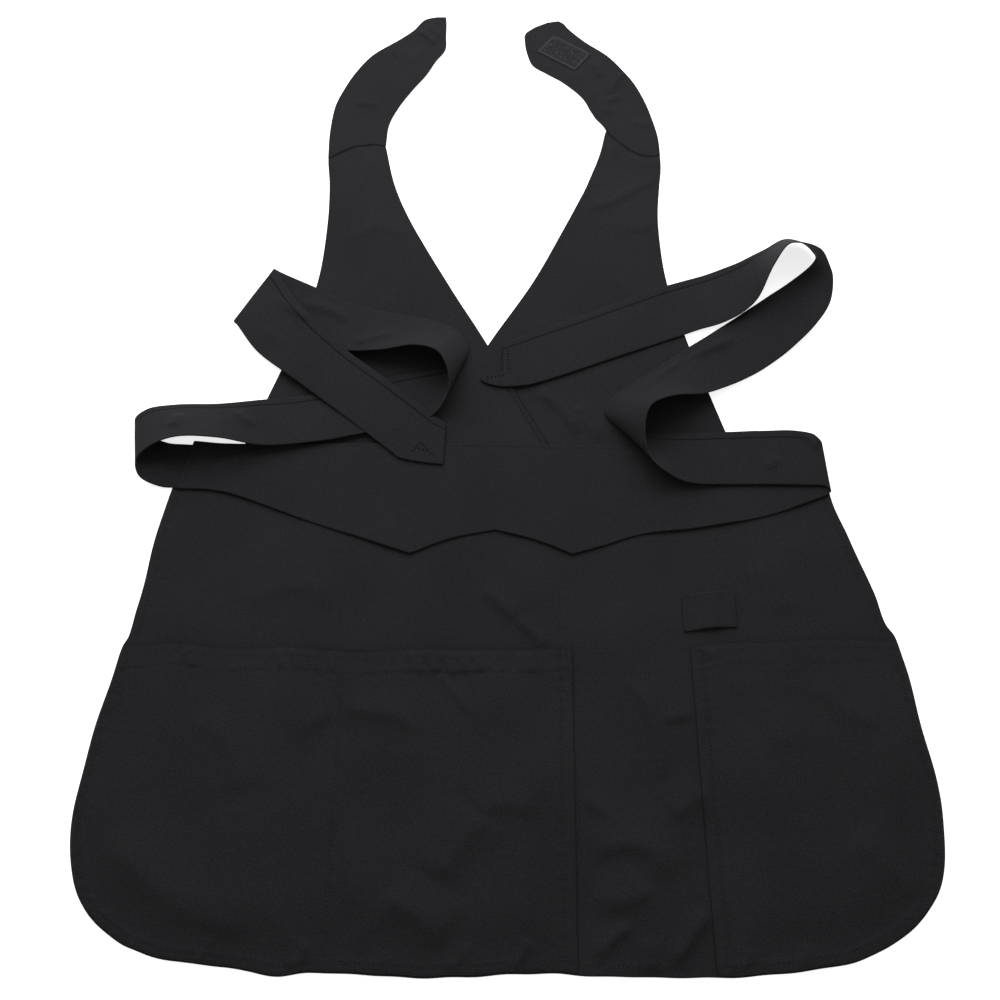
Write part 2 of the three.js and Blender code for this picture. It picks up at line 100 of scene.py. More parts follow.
# Neck straps from the bib seam to the pointed end. Columns: outer edge x, y, inner edge x, y.
STRAP_LEFT = [
    (-178.5, 308, -122, 308), (-179, 337, -119.5, 341), (-175.5, 368, -110, 368), (-168, 391, -97, 391),
    (-157, 415, -84, 411), (-141, 440.5, -74, 432), (-117, 461, -64.5, 449), (-98, 479, -64, 470),
    (-86.5, 495, -64, 490), (-74, 499, -64.5, 499),
]
STRAP_RIGHT = [
    (155, 308, 102.5, 308), (154, 331, 94.3, 331), (148.5, 356, 88.7, 356), (142, 379, 80, 379),
    (133, 402, 60, 402), (123, 419, 43, 415.5), (107, 442, 29, 427), (86, 461, 23, 446), (74, 474, 21, 462),
    (66, 484, 21.5, 474.5), (62, 490.5, 30, 483.5), (57, 494, 45, 492),
]
SEAM_Y = 308
SEAM_REACH = 60
LIFT_Y = 368
LIFT_RAMP = 40
STRAP_WALL = 1.3
# Rise of each strap seam above its height at the outer and inner edges, and its bow between them.
SEAM_LEFT = (-14, 3.5, 8)
SEAM_RIGHT = (-9, 25, -12.5)

# Hook-and-loop patches. Columns: x, y, turn in degrees.
LOOP_PATCH = (62, 446, -36)
HOOK_PATCH = (-98, 449, 50)
PATCH_HALF = (24.5, 15.5)
PATCH_BORDER = 1.8
PATCH_FLAT = 24
PATCH_RAMP = 14
PATCH_ROOM = 0.1
PATCH_RIPPLE = 0.08
PATCH_WAVE = 6

# Waist yoke along the waist. Columns: top edge x, y, lower edge x, y.
YOKE = [
    (-276, -43, -287, -91), (-247, -45.8, -248, -94), (-178, -46, -178, -120), (-130, -45.5, -130, -138),
    (-82, -45.5, -82, -155), (-46, -46, -46, -140), (-10, -46, -10, -132), (24, -47, 24, -142),
    (55, -48, 55, -156), (83, -48, 83, -147), (113, -49, 113, -137), (165, -47, 165, -130),
    (226, -44, 226, -117), (265, -40, 279, -97),
]
YOKE_CORNERS = (0, 4, 6, 8, 13)
YOKE_BASE = 2 * LAYER + 0.1
YOKE_FOOT = LAYER + ROOM
YOKE_LIFT = 0.8
YOKE_RIPPLE = 0.7
YOKE_WAVE = 132
YOKE_FLUTTER = 34
YOKE_END_X = 225
YOKE_END_RAMP = 25

# Pockets and tool loop
POCKET_ROLL = 36
POCKET_FLAT = 10
POCKET_INSET = 1.5
DIVIDER_X = -133
DOUBLE_EDGE_X = 52
SINGLE_EDGE_X = 149
# Pocket mouths from the sewn edge to the side. Columns: x, y.
DOUBLE_MOUTH = [
    (52, -242), (36, -241), (20, -243.5), (-56, -244), (-119, -244.5), (-140, -243), (-188, -242),
    (-241, -242), (-269, -237.5), (-290, -238),
]
SINGLE_MOUTH = [(149, -241), (168, -238), (233, -237), (291, -234)]
DOUBLE_SIDE_Y = -239
SINGLE_SIDE_Y = -233
TACK_X = (40.5, 48)
MOUTH_BAND = 21
FOLD_FADE = 14
LOOP_X = 166.4
LOOP_TOP = -190.7
LOOP_BOTTOM = -222.5
LOOP_SKEW = 4.3
LOOP_WIDTH = 43
LOOP_SEAM = 5
LOOP_ROLL = 14

# Waist ties from the sewn end to the free end. Columns: stitched edge x, y, z, bearing and lift in
# degrees of the line across the tie, its length.
TIE_LEFT = [
    (-269, -47, 1.8, -92, 0, 43), (-284, -46, 2, -92, 0, 44), (-300, -44.5, 2.4, -91, 1, 45),
    (-319.5, -35, 3, -88, 9, 49), (-331, -20.5, 4, -78, 16, 54), (-321, -10.5, 5, -78, 19, 54),
    (-299, -6.8, 6, -78, 25, 54), (-261, -5.5, 6, -78, 23, 54), (-221, -0.7, 5, -81, 9, 54),
    (-172, 7, 3.2, -79, 5, 53), (-124, 21, 3.1, -77, 2, 54), (-83, 31, 3.2, -83, 2, 54),
    (-55, 37, 3.6, -98, 7, 54), (-39, 45, 3.6, -105, 21, 54), (-35, 57, 3.6, -111, 29, 54),
    (-44, 76, 3.6, -113, 32, 54), (-65, 88, 3.6, -111, 28, 54), (-99, 96, 4, -107, 15, 54),
    (-140, 106, 4.4, -111, 1, 54), (-180, 128, 3.6, -116, -1, 58), (-215, 147, 3.4, -118, 0, 66),
    (-221, 149.5, 5, -118, 0, 69), (-216, 141, 6.8, -118.5, 0, 68), (-195, 106, 9, -122, -2, 63),
    (-150, 54, 10.8, -129, -4, 52), (-100, 12, 8.4, -132, -2, 52), (-65, -18, 6.2, -131, -1, 52),
    (-61, -21.5, 6, -131, -1, 52), (-57, -24.5, 5.9, -114, -1, 45), (-55, -27, 5.7, -91, -1, 41),
]
TIE_RIGHT = [
    (262, -42, 1.8, -91, 0, 51), (270, -43.5, 2, -87, 0, 51), (277.5, -45, 3.2, -87, 0.5, 50),
    (272, -37.5, 4.5, -86, 1, 53), (258, -33.5, 4.7, -89, 1.5, 56), (224, -33.5, 4.5, -91, 1, 55),
    (184, -35, 4.3, -90, 2, 54), (155, -36, 4, -86, 6, 54), (127, -35, 3.4, -77, 17, 54),
    (102, -29, 3, -65, 27, 54), (89, -15, 3, -47, 35, 54), (93, 1, 3, -40, 38, 54),
    (114, 18, 3, -45, 33, 54), (145, 42, 3, -50, 12, 54), (205, 86, 3, -67, -1, 59),
    (248, 119, 3, -69, 5, 60), (276, 141, 3, -70, 23, 60), (293, 158, 3, -82, 37, 58),
    (297, 166, 3, -90, 43, 56), (294, 174, 3, -94, 50, 55), (289, 181, 3, -99, 49.5, 54),
    (281, 186, 3.4, -104, 47, 54), (269, 187, 4, -99, 45, 54), (249, 174, 5, -91, 36, 54),
    (218, 155, 5.4, -77, 10, 55), (185, 141.6, 4, -70, 4, 59), (153, 131, 3.2, -63, 0.5, 58),
    (71, 96, 3, -67, 0, 55), (22, 75, 3.3, -71, 0, 54), (5, 67, 3.5, -79, 1, 52), (-2, 63, 3.6, -96, 1, 48),
    (-3, 62, 3.6, -114, 1, 46),
]
TIE_WIDTH = 54
TIE_SEAM = 7
TIE_STEPS = 12
TIE_WALL = 1.1
TIE_HEM = 0.12
TIE_SINK = 0.32
# Depth of the darkening along a tie's stitched line: needle holes with painted shade of the sunken line.
TIE_SHADE = 0.85
TIE_RIPPLE = 0.28
TIE_WAVE = 40
TIE_ACROSS = (0, 1.5, 3.5, 5.4, 6.3, 7, 7.7, 8.6, 10.5, 13, 16, 19, 22, 25, 28, 31, 34, 37, 40,
              43, 46, 48.5, 51, 52.8, 54)

# Creases of the ties. Columns: first and last row of the tie's table, half width, height, then points
# x, y along it.
CREASES_LEFT = [
    (22, 24, 4, 1.2, (-217, 112), (-192, 91), (-180, 81)), (22, 24, 5, 1.0, (-226, 75), (-203, 58)),
    (17, 19, 5, 1.6, (-194, 112), (-165, 99), (-143, 86)),
    (16, 18, 4, 1.4, (-144, 57), (-121, 63), (-99, 68)), (5, 7, 4, 1.6, (-292, -42), (-289, -20)),
    (7, 9, 4, 1.6, (-242, -16), (-224, -35)),
]
CREASES_RIGHT = [
    (11, 15, 3, 1.4, (112, -4), (136, 20), (164, 46)), (12, 15, 4, 1.8, (169, 44), (188, 56), (211, 67)),
    (3, 7, 3, 1.4, (225, -75), (241, -61)), (3, 6, 3, 1.4, (263, -39), (275, -54)),
]
# Notch in the end of the right tie. Columns: distance from the stitched edge, shift back along the tie.
NOTCH = [(0, 0), (36, 13), (40, 8), (44, 3), (47, -2), (50, -4.5), (52.5, -1.5), (54, 2)]
NOTCH_REACH = 26
# Tacks that hold the ends of the ties, each a line of points x, y sewn in close rows.
TACK_ROWS = (-0.7, 0, 0.7)
TACK_RISE = 0.6
TACKS_LEFT = [[(-84, -57), (-76, -45), (-63, -62)], [(-80, -52), (-69, -55)]]
TACKS_RIGHT = [[(1, 58), (2, 32)], [(-20, 23.5), (-2, 27.5)]]

# Folds, creases and puckers of the laid panels. Columns: half width, height, then points x, y along it.
SKIRT_FOLDS = [
    (6, 1.8, (-24, -186), (-8, -201), (10, -219)), (4, 2.0, (6, -214), (20, -228), (32, -243)),
    (5, 2.0, (92, -268), (107, -283), (115, -306), (120, -331), (117, -362)),
    (4, 1.4, (116, -306), (130, -303), (150, -299)), (6, 1.6, (54, -363), (72, -379), (88, -394)),
    (10, 1.8, (154, -360), (140, -371), (122, -384)),
    (11, 2.4, (60, -412), (86, -404), (110, -410), (124, -434)),
    (12, 2.4, (60, -440), (84, -447), (110, -434)), (4, 2.4, (63, -489), (75, -475), (92, -462)),
    (5, 3.0, (117, -494), (131, -476), (149, -450)), (5, 1.8, (104, -498), (103, -470)),
    (13, 1.3, (-216, -212), (-193, -190), (-165, -188), (-138, -202)),
    (14, 1.4, (204, -162), (224, -190), (228, -216)), (3, 0.6, (-143, -150), (-137, -200), (-132, -242)),
]
DOUBLE_FOLDS = [
    (12, 1.9, (-172, -328), (-153, -306), (-133, -297), (-102, -299), (-81, -307), (-62, -324)),
    (18, 2.8, (-310, -392), (-290, -411), (-272, -427), (-242, -450), (-210, -462), (-176, -466)),
    (15, 2.6, (-16, -374), (-26, -395), (-40, -413), (-54, -438)),
    (13, 1.6, (-32, -382), (0, -374), (26, -381)),
    (13, 2.4, (-94, -438), (-80, -450), (-62, -461), (-44, -478)),
    (4, 0.8, (-58, -263), (-40, -286), (-24, -305)), (14, 1.6, (-250, -300), (-215, -330), (-200, -372)),
    (12, 1.4, (-150, -380), (-120, -420), (-112, -462)),
]
SINGLE_FOLDS = [
    (12, 1.3, (188, -258), (205, -300), (216, -338)), (16, 2.0, (256, -394), (284, -422), (306, -446)),
    (10, 1.2, (240, -270), (268, -300), (296, -312)),
]
DOUBLE_PUCKERS = [
    (4, 1.3, (-79, -245), (-70, -269)), (4, 1.5, (-67, -244), (-56, -268)),
    (4, 1.5, (-54, -245), (-42, -270)), (4, 1.3, (-42, -246), (-31, -268)),
    (4, 1.0, (-30, -247), (-20, -267)), (4, 0.9, (-189, -244), (-178, -263)),
    (4, 0.9, (-176, -244), (-166, -263)), (4, 0.8, (-162, -245), (-153, -263)),
    (4, 0.7, (-148, -246), (-139, -262)), (4, 0.9, (10, -247), (22, -266)),
    (4, 0.8, (-262, -244), (-252, -262)), (4, 1.3, (-42, -497), (-28, -476)),
    (4, 1.6, (2, -497), (18, -472)), (5, 1.4, (-158, -496), (-142, -474)),
    (4, 1.0, (-96, -498), (-88, -480)), (4, 0.9, (-226, -490), (-214, -472)),
]
SINGLE_PUCKERS = [
    (3.5, 0.9, (150, -241), (172, -252)), (4, 1.2, (168, -499), (178, -478)),
    (4, 1.0, (214, -494), (218, -476)), (3, 0.6, (230, -236), (236, -256)),
    (3, 0.6, (280, -232), (284, -252)),
]
BIB_FOLDS = [
    (6, 1.2, (70, 223), (104, 236), (128, 253), (152, 271)), (5, 0.9, (110, 318), (107, 300), (105, 280)),
    (4, 0.7, (101, 309), (95, 286)), (5, 0.8, (-135, 304), (-139, 276), (-144, 248)),
    (8, 0.7, (106, 196), (148, 206)), (5, 0.7, (-155, 294), (-158, 262), (-159, 236)),
    (6, 2.0, (24, 14), (46, -6), (66, -38)), (6, 1.6, (58, 0), (84, -44)),
    (9, 0.8, (-160, 190), (-120, 202), (-92, 190)), (7, 0.8, (96, 150), (118, 120), (122, 92)),
]
YOKE_FOLDS = [(4, 1.2, (-262, -83), (-248, -68), (-216, -54)), (10, 1.0, (116, -66), (122, -98), (126, -132))]
STRAP_FOLDS = [
    (4.5, 1.5, (86, 437), (96, 420), (99, 406)), (4, 1.4, (124, 418), (112, 396), (107, 380)),
    (4, 1.4, (86, 392), (96, 375), (105, 350)), (3.5, 1.1, (101, 370), (120, 382)),
    (4, 1.0, (128, 346), (146, 336)), (4, 1.4, (-95, 480), (-84, 467), (-74, 454)),
    (3, 1.0, (-86, 486), (-68, 466)), (5, 1.0, (-160, 372), (-128, 366)),
]

RIPPLE_WAVES = 6
RIPPLE_SPREAD = (0.7, 1.5)
FOLD_GAIN = 1.8
FOLD_SPREAD = 1.25
FOLD_LEAN = 0.5
FOLD_END = 0.25
FOLD_CREST = 0.35

# How loosely cloth lies and how hems wave. Columns: height, length of the waves, seed.
SKIRT_LIE = (0.9, 75, 1)
BIB_LIE = (0.7, 70, 11)
STRAP_LIE = (0.25, 46, 51)
POCKET_LIE = (0.6, 85, 31)
HEM_WAVE = (0.4, 30, 3)
SIDE_WAVE = (0.8, 70, 4)
# Where the loose lie and the waves start, and the way over which they grow.
SKIRT_LIE_Y, SKIRT_LIE_RAMP = -105, 50
BIB_LIE_Y, BIB_LIE_RAMP = 150, 60
HEM_WAVE_Y, HEM_WAVE_RAMP = -425, 45
SIDE_WAVE_X, SIDE_WAVE_RAMP = 240, 40
# A strap seam keeps the folds away and draws in small tucks.
SEAM_CALM = 12
TUCK_REACH = 15
TUCK_WAVE = 13

# Net of a laid panel: rows of points inside its edge and beside its seams, and where its even field starts.
RIM_ROWS = (1.2, 3, 5, 7, 9)
RIM_TRUE = 0.97
RIM_CLEAR = 10.5
SEAM_ROWS = (-2.6, -1.1, 0, 1.1, 2.6)
SEAM_DENSITY = 0.75
SEAM_CLEAR = 4
SEAM_COARSE = 6
TRIANGLE_HEIGHT = 0.866

# Stitched lines and joins of a laid panel: depth, half widths, and the puckers beside them.
LINE_STEP = 5
SEAM_SINK = 0.28
SEAM_HALF = 0.9
JOIN_HALF = 1.3
HEM_SLOPE = 1.6
PUCKER_REACH = 7
PUCKER_WAVE = 11
PUCKER_LIFT = 0.8
RIM_BULGE = 0.4
STITCH_STEP = 2
STITCH_RISE = 0.12
STITCH_DIP = 0.9

# Scale of a wave texture whose diagonal bands are a metre apart.
BAND_SCALE = 0.444

# Stage, in metres: the large light and the floor, and the width of the camera's frame in millimetres.
KEY_PLACE = (-0.1, 0.7, 0.8)
KEY_SIZE = (1.8, 1.2)
FLOOR_SIZE = 8
SENSOR = 36


def linear(hex_colour):
    """Linear colour of an sRGB hex value."""
    channels = [int(hex_colour[k:k + 2], 16) / 255 for k in (1, 3, 5)]
    return tuple(c / 12.92 if c <= 0.04045 else ((c + 0.055) / 1.055) ** 2.4 for c in channels)


def smooth(t):
    """Smooth step from 0 to 1."""
    c = np.clip(t, 0, 1)
    return c * c * (3 - 2 * c)


def spline(rows, steps):
    """Smooth curve through the rows of a table, with as many steps between neighbouring rows."""
    rows = np.asarray(rows, float)
    rows = np.vstack([2 * rows[0] - rows[1], rows, 2 * rows[-1] - rows[-2]])
    t = np.arange(steps)[:, None] / steps
    parts = []
    for k in range(1, len(rows) - 2):
        p0, p1, p2, p3 = rows[k - 1:k + 3]
        d0, d1, d2 = (np.linalg.norm(b - a) ** 0.5 for a, b in ((p0, p1), (p1, p2), (p2, p3)))
        start = ((p1 - p0) / d0 - (p2 - p0) / (d0 + d1) + (p2 - p1) / d1) * d1
        end = ((p2 - p1) / d1 - (p3 - p1) / (d1 + d2) + (p3 - p2) / d2) * d1
        parts.append(p1 + start * t + (3 * (p2 - p1) - 2 * start - end) * t ** 2
                     + (2 * (p1 - p2) + start + end) * t ** 3)
    parts.append(rows[-2][None])
    return np.vstack(parts)


def lengths(line):
    """Distance along a line at each of its points."""
    return np.concatenate([[0], np.cumsum(np.linalg.norm(np.diff(line, axis=0), axis=1))])


def spaced(line, step=EDGE_STEP):
    """The same line with points about a step apart."""
    line = np.asarray(line, float)
    run = lengths(line)
    want = np.linspace(0, run[-1], max(2, int(round(run[-1] / step)) + 1))
    return np.stack([np.interp(want, run, line[:, k]) for k in range(line.shape[1])], axis=1)


def curve(rows, steps=24, step=EDGE_STEP):
    """Smooth curve through the rows of a table, with points about a step apart."""
    return spaced(spline(rows, steps), step)


def ring(*edges):
    """Closed outline out of edges that run on into each other."""
    return np.vstack([edge[:-1] for edge in edges])


def closed(outline):
    return np.vstack([outline, outline[:1]])


def counter_clockwise(outline):
    x, y = outline.T
    return outline if np.sum(x * np.roll(y, -1) - y * np.roll(x, -1)) > 0 else outline[::-1].copy()


def distance(points, line):
    """Distance of each point from a line."""
    nearest = np.full(len(points), np.inf)
    for a, b in zip(line[:-1], line[1:]):
        span = b - a
        t = np.clip((points - a) @ span / max(span @ span, 1e-9), 0, 1)
        nearest = np.minimum(nearest, np.hypot(*(points - a - t[:, None] * span).T))
    return nearest


def inside(points, outline):
    """Which points lie inside a closed outline."""
    x, y = points.T
    odd = np.zeros(len(points), bool)
    for (ax, ay), (bx, by) in zip(outline, np.roll(outline, -1, axis=0)):
        if ay != by:
            odd ^= ((ay > y) != (by > y)) & (x < (bx - ax) * (y - ay) / (by - ay) + ax)
    return odd


def beside(line, offset):
    """A line moved to its left by an offset."""
    run = np.gradient(line, axis=0)
    run /= np.maximum(np.linalg.norm(run, axis=1), 1e-9)[:, None]
    return line + offset * np.stack([-run[:, 1], run[:, 0]], axis=1)


def upward(count):
    """As many normals that point straight up."""
    return np.tile((0.0, 0, 1), (count, 1))


def ripple(x, y, length, seed):
    """Gentle irregular waves of about the given length, mostly between -1 and 1."""
    chance = np.random.default_rng(seed)
    total = 0
    for _ in range(RIPPLE_WAVES):
        angle, phase = chance.uniform(0, 2 * math.pi, 2)
        rate = 2 * math.pi / (length * chance.uniform(*RIPPLE_SPREAD))
        total = total + np.sin(rate * (x * math.cos(angle) + y * math.sin(angle)) + phase)
    return total / math.sqrt(2 * RIPPLE_WAVES)


def loose_lie(points, height, length, seed):
    """Slow rise and fall of cloth that lies loosely."""
    return np.maximum(height * (1 + ripple(*points.T, length, seed)), 0)


def fold_height(folds, points):
    """Height of the highest fold of a table at each place.

    A fold dies out toward both its ends, and it is steeper toward the hem than toward the neck."""
    highest = np.zeros(len(points))
    for width, height, *bends in folds:
        line = curve(bends, 8, FOLD_STEP)
        run = lengths(line)
        nearest = np.full(len(points), np.inf)
        place, lean = np.zeros(len(points)), np.zeros(len(points))
        for a, b, start in zip(line[:-1], line[1:], run):
            span = b - a
            t = np.clip((points - a) @ span / (span @ span), 0, 1)
            away = points - a - t[:, None] * span
            off = np.hypot(*away.T)
            place = np.where(off < nearest, start + t * math.sqrt(span @ span), place)
            lean = np.where(off < nearest, away[:, 1] / np.maximum(off, 1e-9), lean)
            nearest = np.minimum(nearest, off)
        fade = smooth(np.minimum(place, run[-1] - place) / (FOLD_END * run[-1]))
        reach = FOLD_SPREAD * width * (1 + FOLD_LEAN * lean)
        crest = (np.hypot(nearest, FOLD_CREST * reach) - FOLD_CREST * reach) / ((1 - FOLD_CREST) * reach)
        highest = np.maximum(highest, FOLD_GAIN * height * fade * np.exp(-crest))
    return highest


def node(tree, kind, inputs, **settings):
    """Adds a node with its settings, and sets or links its inputs by name or number."""
    made = tree.nodes.new(kind)
    for key, value in settings.items():
        setattr(made, key, value)
    for key, value in inputs.items():
        if isinstance(value, bpy.types.NodeSocket):
            tree.links.new(value, made.inputs[key])
        else:
            made.inputs[key].default_value = value
    return made


def start_material(name):
    """New material without nodes, and the tree to fill."""
    material = bpy.data.materials.new(name)
    material.use_nodes = True
    material.node_tree.nodes.clear()
    return material, material.node_tree


def end_material(tree, surface):
    node(tree, "ShaderNodeOutputMaterial", {"Surface": surface.outputs["BSDF"]})


def twill_material(cloth):
    """Black poly-cotton twill, woven and piece-dyed: dull, a little uneven, with a faint grey nap."""
    if "Black poly-cotton twill" in bpy.data.materials:
        return bpy.data.materials["Black poly-cotton twill"]
    material, tree = start_material("Black poly-cotton twill")
    uv = node(tree, "ShaderNodeTexCoord", {}).outputs["UV"]
    # Uneven dye in patches of about 8 cm and clouds of about 5 mm, and flecks of lint about 1.3 mm across.
    patches = node(tree, "ShaderNodeTexNoise", {"Vector": uv, "Scale": 1 / 0.08, "Detail": 3.0})
    clouds = node(tree, "ShaderNodeTexNoise", {"Vector": uv, "Scale": 1 / 0.005, "Detail": 1.0})
    flecks = node(tree, "ShaderNodeTexNoise", {"Vector": uv, "Scale": 1 / 0.0013, "Detail": 2.0})
    # Twill lines 0.5 mm apart in the real cloth are drawn 1.1 mm apart, or they would not show.
    lines = node(tree, "ShaderNodeTexWave",
                 {"Vector": uv, "Scale": BAND_SCALE / 0.0011, "Distortion": 0.6, "Detail": 1.0,
                  "Detail Scale": 1.5}, bands_direction="DIAGONAL")
    grain = node(tree, "ShaderNodeMath", {0: lines.outputs["Fac"], 1: 0.35, 2: flecks.outputs["Fac"]},
                 operation="MULTIPLY_ADD")
    tone = node(tree, "ShaderNodeMath", {0: patches.outputs["Fac"], 1: 0.25, 2: grain.outputs["Value"]},
                operation="MULTIPLY_ADD")
    tone = node(tree, "ShaderNodeMath", {0: clouds.outputs["Fac"], 1: 0.15, 2: tone.outputs["Value"]},
                operation="MULTIPLY_ADD")
    shade = node(tree, "ShaderNodeMapRange",
                 {"Value": tone.outputs["Value"], "From Min": 0.6, "From Max": 1.15})
    colour = node(tree, "ShaderNodeMix",
                  {"Factor": shade.outputs["Result"], 6: (*cloth.dark, 1), 7: (*cloth.light, 1)},
                  data_type="RGBA")
    # Along a stitched line the cloth is pulled in and darker at its needle holes, and painted shade of its
    # sunken line deepens it; along edges where panels meet or lie over other cloth, such as pocket mouths,
    # strap seams and the bib's crossing edge, the darkening is painted shade alone.
    seam_shade = node(tree, "ShaderNodeAttribute", {}, attribute_name="seam")
    colour = node(tree, "ShaderNodeMix",
                  {"Factor": seam_shade.outputs["Fac"], 6: colour.outputs["Result"], 7: (*cloth.groove_shade, 1)},
                  data_type="RGBA")
    rough = node(tree, "ShaderNodeMapRange",
                 {"Value": flecks.outputs["Fac"], "To Min": 0.8, "To Max": 0.95})
    bump = node(tree, "ShaderNodeBump",
                {"Height": grain.outputs["Value"], "Strength": 0.55, "Distance": 0.00015})
    end_material(tree, node(tree, "ShaderNodeBsdfPrincipled", {
        "Base Color": colour.outputs["Result"], "Roughness": rough.outputs["Result"],
        "Normal": bump.outputs["Normal"], "Specular IOR Level": 0.08, "Sheen Weight": 0.03,
        "Sheen Roughness": 0.4, "Sheen Tint": (*linear("#c8c6d0"), 1)}))
    return material


def thread_material(cloth, worn):
    """Black spun polyester sewing thread: twisted, a little glossier than the cloth, greyer where worn."""
    name = "Worn black polyester thread" if worn else "Black polyester thread"
    if name in bpy.data.materials:
        return bpy.data.materials[name]
    material, tree = start_material(name)
    place = node(tree, "ShaderNodeTexCoord", {}).outputs["Object"]
    # Twist of about one turn in 0.8 mm, and a slow change of shade along a seam.
    twist = node(tree, "ShaderNodeTexWave",
                 {"Vector": place, "Scale": BAND_SCALE / 0.0008}, bands_direction="DIAGONAL")
    shade = node(tree, "ShaderNodeTexNoise", {"Vector": place, "Scale": 1 / 0.02})
    # Worn thread runs from the cloth's dark tone to a paler grey; unworn tie thread is black thread taken
    # down to the near-black painted seam shade, so its stitches read as shaded lines.
    deep, pale = (cloth.dark, cloth.thread) if worn else (cloth.groove_shade, cloth.dark)
    colour = node(tree, "ShaderNodeMix",
                  {"Factor": shade.outputs["Fac"], 6: (*deep, 1), 7: (*pale, 1)}, data_type="RGBA")
    bump = node(tree, "ShaderNodeBump",
                {"Height": twist.outputs["Fac"], "Strength": 0.4, "Distance": 0.0001})
    end_material(tree, node(tree, "ShaderNodeBsdfPrincipled", {
        "Base Color": colour.outputs["Result"], "Normal": bump.outputs["Normal"], "Roughness": 0.6,
        "Specular IOR Level": 0.15}))
    return material


def pile_material(cloth):
    """Black nylon hook-and-loop tape: a mat of fine filaments that catches a little light."""
    if "Black nylon hook-and-loop tape" in bpy.data.materials:
        return bpy.data.materials["Black nylon hook-and-loop tape"]
    material, tree = start_material("Black nylon hook-and-loop tape")
    place = node(tree, "ShaderNodeTexCoord", {}).outputs["Object"]
    # Tufts about 1.6 mm apart over filaments of about 0.4 mm, and a paler woven selvedge along the stitches.
    tufts = node(tree, "ShaderNodeTexVoronoi", {"Vector": place, "Scale": 1 / 0.0016})
    fibres = node(tree, "ShaderNodeTexNoise", {"Vector": place, "Scale": 1 / 0.0004, "Detail": 3.0})
    fuzz = node(tree, "ShaderNodeMath", {0: tufts.outputs["Distance"], 1: 0.7, 2: fibres.outputs["Fac"]},
                operation="MULTIPLY_ADD")
    specks = node(tree, "ShaderNodeMapRange",
                  {"Value": fuzz.outputs["Value"], "From Min": 0.8, "From Max": 1.35})
    selvedge = node(tree, "ShaderNodeAttribute", {}, attribute_name="seam")
    pale = node(tree, "ShaderNodeMath", {0: specks.outputs["Result"], 1: selvedge.outputs["Fac"]},
                operation="MAXIMUM")
    colour = node(tree, "ShaderNodeMix",
                  {"Factor": pale.outputs["Value"], 6: (*cloth.dark, 1), 7: (*cloth.pile, 1)},
                  data_type="RGBA")
    bump = node(tree, "ShaderNodeBump",
                {"Height": fuzz.outputs["Value"], "Strength": 0.8, "Distance": 0.0004})
    end_material(tree, node(tree, "ShaderNodeBsdfPrincipled", {
        "Base Color": colour.outputs["Result"], "Normal": bump.outputs["Normal"], "Roughness": 0.75,
        "Specular IOR Level": 0.1, "Sheen Weight": 0.03, "Sheen Roughness": 0.5}))
    return material


def floor_material(stage):
    """White acrylic table lit from within: even and bright, with a faint satin texture."""
    material, tree = start_material("Lit white acrylic table")
    place = node(tree, "ShaderNodeTexCoord", {}).outputs["Object"]
    satin = node(tree, "ShaderNodeTexNoise", {"Vector": place, "Scale": 1 / 0.004})
    colour = node(tree, "ShaderNodeMix",
                  {"Factor": satin.outputs["Fac"], 6: (*stage.floor, 1), 7: (*linear("#ffffff"), 1)},
                  data_type="RGBA")
    bump = node(tree, "ShaderNodeBump",
                {"Height": satin.outputs["Fac"], "Strength": 0.05, "Distance": 0.0002})
    end_material(tree, node(tree, "ShaderNodeBsdfPrincipled", {
        "Base Color": colour.outputs["Result"], "Normal": bump.outputs["Normal"], "Roughness": 0.9,
        "Specular IOR Level": 0.2, "Emission Color": (*linear("#ffffff"), 1),
        "Emission Strength": stage.glow}))
    return material


def object_from(name, points, faces, uv, material, seam=None):
    """Piece in the scene from points in millimetres, with its cloth coordinates as a UV map.

    Where a piece has seams, an attribute tells how near each point is to one."""
    mesh = bpy.data.meshes.new(name)
    mesh.from_pydata((points * MM).tolist(), [], faces)
    corners = np.empty(len(mesh.loops), np.int32)
    mesh.loops.foreach_get("vertex_index", corners)
    mesh.uv_layers.new(name="Cloth").data.foreach_set("uv", (uv[corners] * MM).ravel().astype(np.float32))
    mesh.polygons.foreach_set("use_smooth", np.ones(len(mesh.polygons), bool))
    if seam is not None:
        mesh.attributes.new("seam", "FLOAT", "POINT").data.foreach_set("value", seam.astype(np.float32))
    mesh.materials.append(material)
    mesh.update()
    piece = bpy.data.objects.new(name, mesh)
    bpy.context.scene.collection.objects.link(piece)
    return piece


def shell(points, normals, faces, wall):
    """Closed wall about a surface, with a rounded rim. Gives its points, its faces and their source."""
    count = len(points)
    starts = faces.ravel()
    ends = np.roll(faces, -1, axis=1).ravel()
    open_edge = ~np.isin(starts * count + ends, ends * count + starts)
    starts, ends = starts[open_edge], ends[open_edge]
    rim, order = np.unique(np.concatenate([starts, ends]), return_inverse=True)
    a, b = order[:len(starts)], order[len(starts):]
    along = points[ends] - points[starts]
    out = np.zeros((len(rim), 3))
    np.add.at(out, a, np.cross(along, normals[starts]))
    np.add.at(out, b, np.cross(along, normals[ends]))
    out /= np.maximum(np.linalg.norm(out, axis=1), 1e-9)[:, None]
    half = normals * wall[:, None] / 2
    edge = points[rim] + out * wall[rim, None] * RIM_BULGE
    body = np.vstack([points + half, points - half, edge])
    a, b = a + 2 * count, b + 2 * count
    sides = np.vstack([np.stack([ends, starts, a, b], axis=1),
                       np.stack([b, a, starts + count, ends + count], axis=1)])
    quilt = [*faces.tolist(), *(faces[:, ::-1] + count).tolist(), *sides.tolist()]
    return body, quilt, np.concatenate([np.arange(count), np.arange(count), rim])


